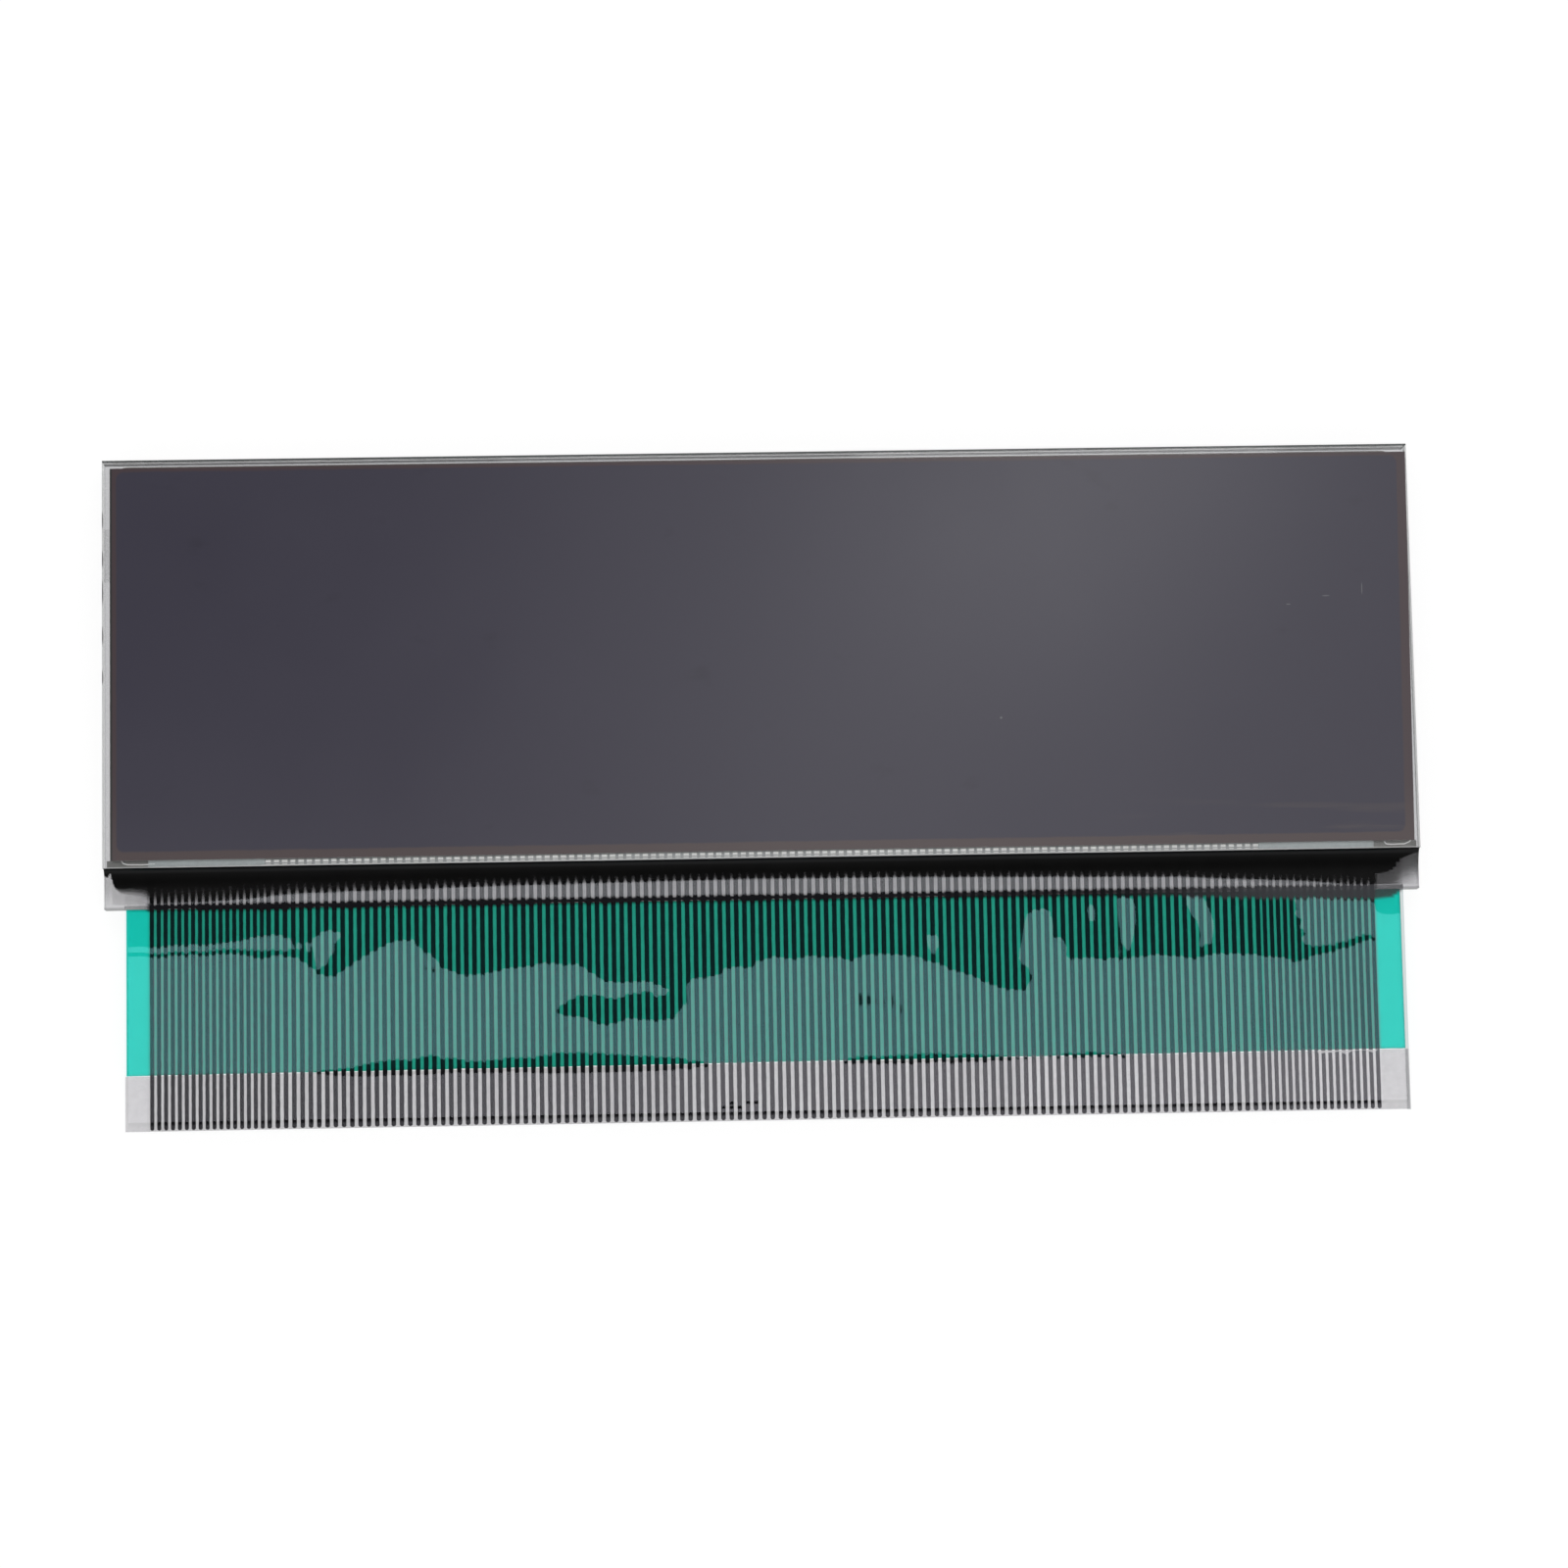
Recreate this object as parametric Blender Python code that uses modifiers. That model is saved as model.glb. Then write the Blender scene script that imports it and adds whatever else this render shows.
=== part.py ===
"""LCD module: a bare glass display cell with a ribbon of 156 printed conductors heat-sealed to its
contact ledge.

The cell lies face up. +X runs along the panel, +Y points away from the ribbon, +Z is up, and the
origin is under the middle of the whole outline, on the surface that the module lies on.
Lengths are in metres.
"""

import math

import bmesh
import bpy
from mathutils import Matrix, Vector

# Glass cell
GLASS_WIDTH = 0.0966
FRONT_GLASS_HEIGHT = 0.0302
CONTACT_LEDGE = 0.0029
GLASS_THICKNESS = 0.0011
CELL_GAP = 0.0001

# Polarizers, cut a little smaller than the glass; the front one has a slanting right edge
POLARIZER_THICKNESS = 0.0002
POLARIZER_INSET_LEFT = 0.0006
POLARIZER_INSET_TOP = 0.00064
POLARIZER_INSET_BOTTOM = 0.00052
POLARIZER_INSET_RIGHT_TOP = 0.00012
POLARIZER_INSET_RIGHT_BOTTOM = 0.00046
REAR_POLARIZER_INSET = 0.0005

# Epoxy wall around the liquid crystal, measured in from the edges of the front glass
SEAL_INSET_SIDE = 0.0007
SEAL_INSET_TOP = 0.0003
SEAL_WIDTH_SIDE = 0.0008
SEAL_WIDTH_TOP = 0.0006
SEAL_WIDTH_BOTTOM = 0.0012
SEAL_CORNER_RADIUS = 0.001
FILL_PORT_WIDTH = 0.004
FILL_PORT_CENTRE_FROM_TOP = 0.0069

# Conductive strips that carry the row electrodes from the front glass down to the ledge glass
CROSSOVER_INSET = 0.00015
CROSSOVER_WIDTH = 0.0005

# Ribbon
RIBBON_WIDTH = 0.0939
RIBBON_OFFSET_X = 0.00013
RIBBON_BEYOND_LEDGE = 0.0163
RIBBON_FROM_FRONT_GLASS = 0.0005
FILM_THICKNESS = 0.00005
BARE_TAIL = 0.0041
COAT_THICKNESS = 0.00003
COAT_SLANT = 0.0004
COAT_FROM_LEDGE = 0.00015
COAT_SIDE_INSET = 0.0001
ADHESIVE_THICKNESS = 0.00003
ADHESIVE_MARGIN = 0.00005

# Printed conductors: a group for the rows at each side of the group for the columns, which is as
# many as the film has room for. They bite a little into their film, so that the two join into one
# solid.
SIDE_CONDUCTORS = 17
SIDE_PITCH = 0.0005
MIDDLE_PITCH = 0.0006
SIDE_CONDUCTOR_WIDTH = 0.00027
MIDDLE_CONDUCTOR_WIDTH = 0.0003
CONDUCTOR_THICKNESS = 0.00003
CONDUCTORS_OFF_CENTRE = -0.00016
FILM_MARGIN = 0.00215
CONDUCTOR_END_FROM_EDGE = 0.00012
PRINT_BITE = 0.00001

# Gentle cockle of the free film between the ledge and its tail
COCKLE_HEIGHT = 0.00006
COCKLE_LONG_WAVE = 0.031
COCKLE_SHORT_WAVE = 0.0175
COCKLE_SHORT_SHARE = 0.5
COCKLE_STATIONS = 4
COCKLE_GRID_STEP = 0.0015
COCKLE_TO_COAT_EDGE = 0.0004

# Sealing resin in the step between the front glass and the ledge
RESIN_WIDTH = 0.0026
RESIN_TOP_BELOW_GLASS = 0.00012
RESIN_FOOT_THICKNESS = 0.00008
RESIN_CURVE_STEPS = 10
RESIN_END_LEFT = 0.0005
RESIN_END_RIGHT = 0.0001
RESIN_TAPER_LEFT = 0.0009
RESIN_TAPER_RIGHT = 0.0046
RESIN_SCALLOP = 0.00012
RESIN_SCALLOPS_AT_END = 5
RESIN_END_STEPS = 12

# Clearance left at every bonded face
BOND_GAP = 0.00002

# Heights of the layers, from the table up
REAR_GLASS_BOTTOM = POLARIZER_THICKNESS + BOND_GAP
REAR_GLASS_TOP = REAR_GLASS_BOTTOM + GLASS_THICKNESS
FRONT_GLASS_BOTTOM = REAR_GLASS_TOP + CELL_GAP
FRONT_GLASS_TOP = FRONT_GLASS_BOTTOM + GLASS_THICKNESS
FRONT_POLARIZER_BOTTOM = FRONT_GLASS_TOP + BOND_GAP
CELL_FILL_BOTTOM = REAR_GLASS_TOP + BOND_GAP
CELL_FILL_TOP = FRONT_GLASS_BOTTOM - BOND_GAP
ADHESIVE_BOTTOM = REAR_GLASS_TOP + BOND_GAP
CONDUCTOR_BOTTOM = ADHESIVE_BOTTOM + ADHESIVE_THICKNESS + BOND_GAP
FILM_BOTTOM = CONDUCTOR_BOTTOM + CONDUCTOR_THICKNESS
FILM_TOP = FILM_BOTTOM + FILM_THICKNESS
COAT_TOP = CONDUCTOR_BOTTOM - BOND_GAP

# Places across and along the table
OVERALL_DEPTH = FRONT_GLASS_HEIGHT + CONTACT_LEDGE + RIBBON_BEYOND_LEDGE
GLASS_LEFT = -GLASS_WIDTH / 2
GLASS_RIGHT = GLASS_WIDTH / 2
GLASS_TOP_EDGE = OVERALL_DEPTH / 2
FRONT_GLASS_EDGE = GLASS_TOP_EDGE - FRONT_GLASS_HEIGHT
LEDGE_EDGE = FRONT_GLASS_EDGE - CONTACT_LEDGE
RIBBON_START = FRONT_GLASS_EDGE - RIBBON_FROM_FRONT_GLASS
RIBBON_END = LEDGE_EDGE - RIBBON_BEYOND_LEDGE
RIBBON_LEFT = RIBBON_OFFSET_X - RIBBON_WIDTH / 2
RIBBON_RIGHT = RIBBON_OFFSET_X + RIBBON_WIDTH / 2
MIDDLE_ROOM = RIBBON_WIDTH - 2 * FILM_MARGIN - 2 * SIDE_CONDUCTORS * SIDE_PITCH
MIDDLE_CONDUCTORS = 1 + round(MIDDLE_ROOM / MIDDLE_PITCH)
TAIL_START = RIBBON_END + BARE_TAIL
COCKLE_END = TAIL_START + COAT_SLANT + COCKLE_TO_COAT_EDGE

# Points this close are one point
WELD_DISTANCE = 1e-8


def clear_scene():
    for old in list(bpy.data.objects):
        bpy.data.objects.remove(old, do_unlink=True)


def new_collection(name):
    collection = bpy.data.collections.new(name)
    bpy.context.scene.collection.children.link(collection)
    return collection


def finish_material(name, colour, roughness, metallic=0.0, transmission=0.0, alpha=1.0):
    material = bpy.data.materials.new(name)
    material.use_nodes = True
    shader = material.node_tree.nodes["Principled BSDF"]
    shader.inputs["Base Color"].default_value = (*colour, 1.0)
    shader.inputs["Roughness"].default_value = roughness
    shader.inputs["Metallic"].default_value = metallic
    shader.inputs["Transmission Weight"].default_value = transmission
    shader.inputs["Alpha"].default_value = alpha
    return material


def place_mesh(name, mesh, material, collection):
    """A new object that carries this mesh, shaded flat but for its gentle curves."""
    piece = bpy.data.objects.new(name, mesh)
    mesh.materials.clear()
    mesh.materials.append(material)
    mesh.shade_smooth()
    mesh.set_sharp_from_angle(angle=math.radians(30))
    collection.objects.link(piece)
    return piece


def rectangle(left, bottom, right, top):
    return [(left, bottom), (right, bottom), (right, top), (left, top)]


def rounded_rectangle(left, bottom, right, top, radius, steps=6):
    centres = [
        (right - radius, top - radius),
        (left + radius, top - radius),
        (left + radius, bottom + radius),
        (right - radius, bottom + radius),
    ]
    points = []
    for quarter, (x, y) in enumerate(centres):
        for step in range(steps + 1):
            angle = math.radians(90) * (quarter + step / steps)
            points.append((x + radius * math.cos(angle), y + radius * math.sin(angle)))
    return points


def prism_mesh(name, outlines, start, end, turn=None):
    """The mesh between two heights of closed outlines; an outline inside another is a hole.

    turn is the matrix that stands the flat drawing up, for a section that isn't horizontal.
    """
    curve = bpy.data.curves.new(name, "CURVE")
    curve.dimensions = "2D"
    curve.fill_mode = "BOTH"
    curve.extrude = (end - start) / 2
    for outline in outlines:
        spline = curve.splines.new("POLY")
        spline.points.add(len(outline) - 1)
        for point, (x, y) in zip(spline.points, outline):
            point.co = (x, y, 0.0, 1.0)
        spline.use_cyclic_u = True
    drawing = bpy.data.objects.new(name, curve)
    bpy.context.scene.collection.objects.link(drawing)
    graph = bpy.context.evaluated_depsgraph_get()
    mesh = bpy.data.meshes.new_from_object(drawing.evaluated_get(graph))
    bpy.data.objects.remove(drawing, do_unlink=True)
    mesh.transform(Matrix.Translation((0.0, 0.0, (start + end) / 2)))
    if turn is not None:
        mesh.transform(turn)
    work = bmesh.new()
    work.from_mesh(mesh)
    bmesh.ops.remove_doubles(work, verts=work.verts, dist=WELD_DISTANCE)
    bmesh.ops.recalc_face_normals(work, faces=work.faces)
    work.to_mesh(mesh)
    work.free()
    return mesh


def plate(name, outlines, bottom, top, material, collection):
    return place_mesh(name, prism_mesh(name, outlines, bottom, top), material, collection)


def add_boolean(target, cutter, operation, solver="EXACT"):
    cutter.hide_render = True
    cutter.display_type = "WIRE"
    modifier = target.modifiers.new(operation.lower(), "BOOLEAN")
    modifier.operation = operation
    modifier.object = cutter
    modifier.solver = solver


def cockle(x, y):
    """How far the free film stands up from flat at this place."""
    run = (LEDGE_EDGE - y) / (LEDGE_EDGE - COCKLE_END)
    if run <= 0.0 or run >= 1.0:
        return 0.0
    long_wave = math.sin(2 * math.pi * x / COCKLE_LONG_WAVE)
    short_wave = math.sin(2 * math.pi * x / COCKLE_SHORT_WAVE)
    across = (long_wave + COCKLE_SHORT_SHARE * short_wave) / (1 + COCKLE_SHORT_SHARE)
    return COCKLE_HEIGHT * math.sin(math.pi * run) ** 2 * across


def conductors():
    """(centre, width) of every printed conductor, from left to right."""
    span = 2 * SIDE_CONDUCTORS * SIDE_PITCH + (MIDDLE_CONDUCTORS - 1) * MIDDLE_PITCH
    centre = RIBBON_OFFSET_X + CONDUCTORS_OFF_CENTRE - span / 2
    found = []
    for index in range(2 * SIDE_CONDUCTORS + MIDDLE_CONDUCTORS):
        in_middle = SIDE_CONDUCTORS <= index < SIDE_CONDUCTORS + MIDDLE_CONDUCTORS
        width = MIDDLE_CONDUCTOR_WIDTH if in_middle else SIDE_CONDUCTOR_WIDTH
        found.append((centre, width))
        last_of_middle = index == SIDE_CONDUCTORS + MIDDLE_CONDUCTORS - 1
        centre += MIDDLE_PITCH if in_middle and not last_of_middle else SIDE_PITCH
    return found


def crossover_span(side):
    """Left and right ends of the strip over one group of row conductors: side is -1 or 1."""
    centres = [centre for centre, width in conductors()]
    group = centres[:SIDE_CONDUCTORS] if side < 0 else centres[-SIDE_CONDUCTORS:]
    return group[0] - SIDE_PITCH / 2, group[-1] + SIDE_PITCH / 2


def make_glass(materials, collection):
    plate(
        "front_glass",
        [rectangle(GLASS_LEFT, FRONT_GLASS_EDGE, GLASS_RIGHT, GLASS_TOP_EDGE)],
        FRONT_GLASS_BOTTOM,
        FRONT_GLASS_TOP,
        materials["glass"],
        collection,
    )
    plate(
        "rear_glass",
        [rectangle(GLASS_LEFT, LEDGE_EDGE, GLASS_RIGHT, GLASS_TOP_EDGE)],
        REAR_GLASS_BOTTOM,
        REAR_GLASS_TOP,
        materials["glass"],
        collection,
    )


def make_polarizers(materials, collection):
    front = [
        (GLASS_LEFT + POLARIZER_INSET_LEFT, FRONT_GLASS_EDGE + POLARIZER_INSET_BOTTOM),
        (GLASS_RIGHT - POLARIZER_INSET_RIGHT_BOTTOM, FRONT_GLASS_EDGE + POLARIZER_INSET_BOTTOM),
        (GLASS_RIGHT - POLARIZER_INSET_RIGHT_TOP, GLASS_TOP_EDGE - POLARIZER_INSET_TOP),
        (GLASS_LEFT + POLARIZER_INSET_LEFT, GLASS_TOP_EDGE - POLARIZER_INSET_TOP),
    ]
    plate(
        "front_polarizer",
        [front],
        FRONT_POLARIZER_BOTTOM,
        FRONT_POLARIZER_BOTTOM + POLARIZER_THICKNESS,
        materials["front polarizer"],
        collection,
    )
    rear = rectangle(
        GLASS_LEFT + REAR_POLARIZER_INSET,
        FRONT_GLASS_EDGE + REAR_POLARIZER_INSET,
        GLASS_RIGHT - REAR_POLARIZER_INSET,
        GLASS_TOP_EDGE - REAR_POLARIZER_INSET,
    )
    plate(
        "rear_polarizer",
        [rear],
        0.0,
        POLARIZER_THICKNESS,
        materials["rear polarizer"],
        collection,
    )


def seal_room():
    """Inner edges of the epoxy wall: left, bottom, right, top."""
    bottom_inset = CROSSOVER_INSET + CROSSOVER_WIDTH + BOND_GAP + SEAL_WIDTH_BOTTOM
    return (
        GLASS_LEFT + SEAL_INSET_SIDE + SEAL_WIDTH_SIDE,
        FRONT_GLASS_EDGE + bottom_inset,
        GLASS_RIGHT - SEAL_INSET_SIDE - SEAL_WIDTH_SIDE,
        GLASS_TOP_EDGE - SEAL_INSET_TOP - SEAL_WIDTH_TOP,
    )


def make_cell_inside(materials, collection, cutters):
    left, bottom, right, top = seal_room()
    outer = rounded_rectangle(
        GLASS_LEFT + SEAL_INSET_SIDE,
        bottom - SEAL_WIDTH_BOTTOM,
        GLASS_RIGHT - SEAL_INSET_SIDE,
        GLASS_TOP_EDGE - SEAL_INSET_TOP,
        SEAL_CORNER_RADIUS,
    )
    inner = rounded_rectangle(left, bottom, right, top, SEAL_CORNER_RADIUS)
    seal = plate(
        "perimeter_seal",
        [outer, inner],
        CELL_FILL_BOTTOM,
        CELL_FILL_TOP,
        materials["epoxy"],
        collection,
    )
    port_top = GLASS_TOP_EDGE - FILL_PORT_CENTRE_FROM_TOP + FILL_PORT_WIDTH / 2
    port_bottom = port_top - FILL_PORT_WIDTH
    port = plate(
        "fill_port_cutter",
        [rectangle(GLASS_LEFT, port_bottom, left + BOND_GAP, port_top)],
        REAR_GLASS_TOP,
        FRONT_GLASS_BOTTOM,
        materials["epoxy"],
        cutters,
    )
    add_boolean(seal, port, "DIFFERENCE")
    plate(
        "fill_port_plug",
        [rectangle(GLASS_LEFT, port_bottom + BOND_GAP, left, port_top - BOND_GAP)],
        CELL_FILL_BOTTOM,
        CELL_FILL_TOP,
        materials["plug resin"],
        collection,
    )
    plate(
        "liquid_crystal",
        [
            rounded_rectangle(
                left + BOND_GAP,
                bottom + BOND_GAP,
                right - BOND_GAP,
                top - BOND_GAP,
                SEAL_CORNER_RADIUS - BOND_GAP,
            )
        ],
        CELL_FILL_BOTTOM,
        CELL_FILL_TOP,
        materials["liquid crystal"],
        collection,
    )
    for side, name in ((-1, "crossover_strip_left"), (1, "crossover_strip_right")):
        strip_left, strip_right = crossover_span(side)
        strip_bottom = FRONT_GLASS_EDGE + CROSSOVER_INSET
        plate(
            name,
            [rectangle(strip_left, strip_bottom, strip_right, strip_bottom + CROSSOVER_WIDTH)],
            CELL_FILL_BOTTOM,
            CELL_FILL_TOP,
            materials["conductive paste"],
            collection,
        )


def cockle_lines():
    """The lines across the film at which it bends: from the ledge to the start of its tail."""
    reach = LEDGE_EDGE - COCKLE_END
    return [LEDGE_EDGE - reach * step / COCKLE_STATIONS for step in range(COCKLE_STATIONS + 1)]


def film_section():
    """The film's section seen along it, with points enough across it to follow the cockle."""
    steps = math.ceil(RIBBON_WIDTH / COCKLE_GRID_STEP)
    across = [RIBBON_LEFT + RIBBON_WIDTH * step / steps for step in range(steps + 1)]
    under = [(x, FILM_BOTTOM) for x in across]
    over = [(x, FILM_TOP) for x in reversed(across)]
    return under + over


def cockle_mesh(mesh):
    """Bends a flat mesh to the cockle of the free film."""
    work = bmesh.new()
    work.from_mesh(mesh)
    for y in cockle_lines():
        bmesh.ops.bisect_plane(
            work,
            geom=[*work.verts, *work.edges, *work.faces],
            dist=WELD_DISTANCE,
            plane_co=Vector((0.0, y, 0.0)),
            plane_no=Vector((0.0, 1.0, 0.0)),
        )
    for vert in work.verts:
        vert.co.z += cockle(vert.co.x, vert.co.y)
    bmesh.ops.recalc_face_normals(work, faces=work.faces)
    work.to_mesh(mesh)
    work.free()
    return mesh


def make_ribbon(materials, collection, cutters):
    """The film, joined with the conductors printed on its underside."""
    stand_up = Matrix.Rotation(math.radians(90), 4, "X")
    film = prism_mesh("ribbon", [film_section()], -RIBBON_START, -RIBBON_END, stand_up)
    ribbon = place_mesh("ribbon", cockle_mesh(film), materials["ribbon film"], collection)
    first = RIBBON_START - CONDUCTOR_END_FROM_EDGE
    last = RIBBON_END + CONDUCTOR_END_FROM_EDGE
    lines = [
        rectangle(centre - width / 2, last, centre + width / 2, first)
        for centre, width in conductors()
    ]
    print_top = FILM_BOTTOM + PRINT_BITE
    ink = cockle_mesh(prism_mesh("conductor_lines", lines, CONDUCTOR_BOTTOM, print_top))
    prints = place_mesh("conductor_lines", ink, materials["ribbon film"], cutters)
    add_boolean(ribbon, prints, "UNION", "MANIFOLD")


def coat_edge(x):
    """The lower edge of the cover coat, which was printed a little out of square."""
    share = (x - RIBBON_LEFT) / RIBBON_WIDTH
    return TAIL_START + COAT_SLANT * share


def make_cover_coat(materials, collection):
    left, right = RIBBON_LEFT + COAT_SIDE_INSET, RIBBON_RIGHT - COAT_SIDE_INSET
    across = math.ceil(RIBBON_WIDTH / COCKLE_GRID_STEP)
    lines = cockle_lines()
    work = bmesh.new()
    bmesh.ops.create_grid(work, x_segments=across, y_segments=COCKLE_STATIONS + 1, size=0.5)
    for vert in work.verts:
        x = left + (right - left) * (vert.co.x + 0.5)
        row = round((0.5 - vert.co.y) * (COCKLE_STATIONS + 1))
        places = [LEDGE_EDGE - COAT_FROM_LEDGE, *lines[1:], coat_edge(x)]
        y = places[row]
        vert.co = (x, y, COAT_TOP + cockle(x, y))
    mesh = bpy.data.meshes.new("cover_coat")
    work.to_mesh(mesh)
    work.free()
    coat = place_mesh("cover_coat", mesh, materials["green coat"], collection)
    thickness = coat.modifiers.new("thickness", "SOLIDIFY")
    thickness.thickness = COAT_THICKNESS
    thickness.offset = -1.0


def make_adhesives(materials, collection):
    plate(
        "ledge_adhesive",
        [rectangle(RIBBON_LEFT, LEDGE_EDGE, RIBBON_RIGHT, RIBBON_START)],
        ADHESIVE_BOTTOM,
        ADHESIVE_BOTTOM + ADHESIVE_THICKNESS,
        materials["adhesive"],
        collection,
    )
    tail = [
        (RIBBON_LEFT + ADHESIVE_MARGIN, RIBBON_END + ADHESIVE_MARGIN),
        (RIBBON_RIGHT - ADHESIVE_MARGIN, RIBBON_END + ADHESIVE_MARGIN),
        (RIBBON_RIGHT - ADHESIVE_MARGIN, coat_edge(RIBBON_RIGHT) - ADHESIVE_MARGIN),
        (RIBBON_LEFT + ADHESIVE_MARGIN, coat_edge(RIBBON_LEFT) - ADHESIVE_MARGIN),
    ]
    plate(
        "tail_adhesive",
        [tail],
        ADHESIVE_BOTTOM,
        ADHESIVE_BOTTOM + ADHESIVE_THICKNESS,
        materials["adhesive"],
        collection,
    )


def resin_section():
    """The resin's hollow fillet in the step, as (distance from the front glass, height)."""
    foot = FILM_TOP + BOND_GAP + RESIN_FOOT_THICKNESS
    top = FRONT_GLASS_TOP - RESIN_TOP_BELOW_GLASS
    points = [(BOND_GAP, CELL_FILL_BOTTOM), (BOND_GAP, top)]
    for step in range(1, RESIN_CURVE_STEPS + 1):
        angle = math.radians(90) * step / RESIN_CURVE_STEPS
        reach = BOND_GAP + (RESIN_WIDTH - BOND_GAP) * (1 - math.cos(angle))
        points.append((reach, foot + (top - foot) * (1 - math.sin(angle))))
    points.append((RESIN_WIDTH, CELL_FILL_BOTTOM))
    return points


def resin_end(corner, taper):
    """Points along one end of the resin, from the front glass out to its foot.

    corner is where that end meets the front glass. The end slants towards the middle by taper,
    with the shallow scallops of a bead that flowed before it set.
    """
    points = []
    for step in range(RESIN_END_STEPS + 1):
        share = step / RESIN_END_STEPS
        scallop = RESIN_SCALLOP * math.sin(RESIN_SCALLOPS_AT_END * math.pi * share)
        reach = (RESIN_WIDTH + BOND_GAP) * share
        points.append((corner + taper * share + scallop, FRONT_GLASS_EDGE - reach))
    return points


def resin_outline():
    """The resin seen from above, reaching back over the glass so that only its ends are cut."""
    left = GLASS_LEFT + RESIN_END_LEFT
    right = GLASS_RIGHT - RESIN_END_RIGHT
    back = FRONT_GLASS_EDGE + RESIN_WIDTH
    return [
        (left, back),
        *resin_end(left, RESIN_TAPER_LEFT),
        *reversed(resin_end(right, -RESIN_TAPER_RIGHT)),
        (right, back),
    ]


def make_resin(materials, collection, cutters):
    turn = Matrix(
        (
            (0.0, 0.0, 1.0, 0.0),
            (-1.0, 0.0, 0.0, FRONT_GLASS_EDGE),
            (0.0, 1.0, 0.0, 0.0),
            (0.0, 0.0, 0.0, 1.0),
        )
    )
    mesh = prism_mesh("edge_resin", [resin_section()], GLASS_LEFT, GLASS_RIGHT, turn)
    resin = place_mesh("edge_resin", mesh, materials["sealing resin"], collection)
    outline = plate(
        "resin_outline_cutter",
        [resin_outline()],
        0.0,
        FRONT_GLASS_TOP,
        materials["sealing resin"],
        cutters,
    )
    add_boolean(resin, outline, "INTERSECT")
    ribbon_room = plate(
        "ribbon_room_cutter",
        [
            rectangle(
                RIBBON_LEFT - BOND_GAP,
                LEDGE_EDGE,
                RIBBON_RIGHT + BOND_GAP,
                RIBBON_START + BOND_GAP,
            )
        ],
        REAR_GLASS_TOP,
        FILM_TOP + BOND_GAP,
        materials["sealing resin"],
        cutters,
    )
    add_boolean(resin, ribbon_room, "DIFFERENCE")


def main():
    clear_scene()
    collection = new_collection("lcd_module")
    cutters = new_collection("cutters")
    materials = {
        "glass": finish_material("glass", (0.86, 0.92, 0.9), 0.03, transmission=1.0),
        "front polarizer": finish_material("front polarizer", (0.055, 0.052, 0.067), 0.28),
        "rear polarizer": finish_material("rear polarizer", (0.03, 0.03, 0.036), 0.35),
        "epoxy": finish_material("epoxy", (0.12, 0.07, 0.06), 0.5),
        "plug resin": finish_material("plug resin", (0.2, 0.19, 0.17), 0.3),
        "conductive paste": finish_material("conductive paste", (0.35, 0.36, 0.36), 0.4, 0.3),
        "liquid crystal": finish_material("liquid crystal", (0.05, 0.05, 0.06), 0.2),
        "ribbon film": finish_material("ribbon film", (0.03, 0.035, 0.04), 0.1),
        "green coat": finish_material("green coat", (0.01, 0.42, 0.3), 0.4),
        "adhesive": finish_material("adhesive", (0.6, 0.6, 0.62), 0.4, alpha=0.6),
        "sealing resin": finish_material("sealing resin", (0.006, 0.006, 0.006), 0.12),
    }
    make_glass(materials, collection)
    make_polarizers(materials, collection)
    make_cell_inside(materials, collection, cutters)
    make_ribbon(materials, collection, cutters)
    make_cover_coat(materials, collection)
    make_adhesives(materials, collection)
    make_resin(materials, collection, cutters)


main()
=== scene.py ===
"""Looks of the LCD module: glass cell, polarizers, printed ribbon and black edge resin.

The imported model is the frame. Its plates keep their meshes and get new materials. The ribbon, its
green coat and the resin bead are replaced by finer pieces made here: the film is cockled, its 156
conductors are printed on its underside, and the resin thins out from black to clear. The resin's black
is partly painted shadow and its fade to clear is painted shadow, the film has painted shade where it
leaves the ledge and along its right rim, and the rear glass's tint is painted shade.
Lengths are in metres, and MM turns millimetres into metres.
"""

import math

import bpy
import numpy as np
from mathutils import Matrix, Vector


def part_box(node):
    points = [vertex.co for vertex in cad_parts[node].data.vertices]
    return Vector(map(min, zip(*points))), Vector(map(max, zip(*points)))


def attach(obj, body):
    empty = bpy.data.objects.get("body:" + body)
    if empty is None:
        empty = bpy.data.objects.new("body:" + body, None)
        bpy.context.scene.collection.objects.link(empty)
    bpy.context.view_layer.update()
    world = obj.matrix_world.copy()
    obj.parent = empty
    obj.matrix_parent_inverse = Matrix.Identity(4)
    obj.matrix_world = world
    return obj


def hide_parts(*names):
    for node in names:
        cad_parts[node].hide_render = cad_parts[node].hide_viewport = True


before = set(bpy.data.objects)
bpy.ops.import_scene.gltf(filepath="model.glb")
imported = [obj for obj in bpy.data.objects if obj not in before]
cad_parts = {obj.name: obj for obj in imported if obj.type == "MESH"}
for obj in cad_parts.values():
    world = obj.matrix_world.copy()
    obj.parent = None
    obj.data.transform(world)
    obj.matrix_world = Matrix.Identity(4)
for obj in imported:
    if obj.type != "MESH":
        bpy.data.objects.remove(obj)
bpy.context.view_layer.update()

MM = 0.001
BODY = "root"

# Places taken from the frame
FRONT_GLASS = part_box("front_glass")
REAR_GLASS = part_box("rear_glass")
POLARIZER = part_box("front_polarizer")
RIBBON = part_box("ribbon")
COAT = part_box("cover_coat")
CROSSOVER_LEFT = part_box("crossover_strip_left")
CROSSOVER_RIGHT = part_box("crossover_strip_right")
GLASS_LEFT, GLASS_RIGHT = FRONT_GLASS[0].x, FRONT_GLASS[1].x
FRONT_GLASS_EDGE = FRONT_GLASS[0].y
LEDGE_EDGE = REAR_GLASS[0].y
LEDGE_TOP = REAR_GLASS[1].z
RIBBON_START, RIBBON_END = RIBBON[1].y, RIBBON[0].y

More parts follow.
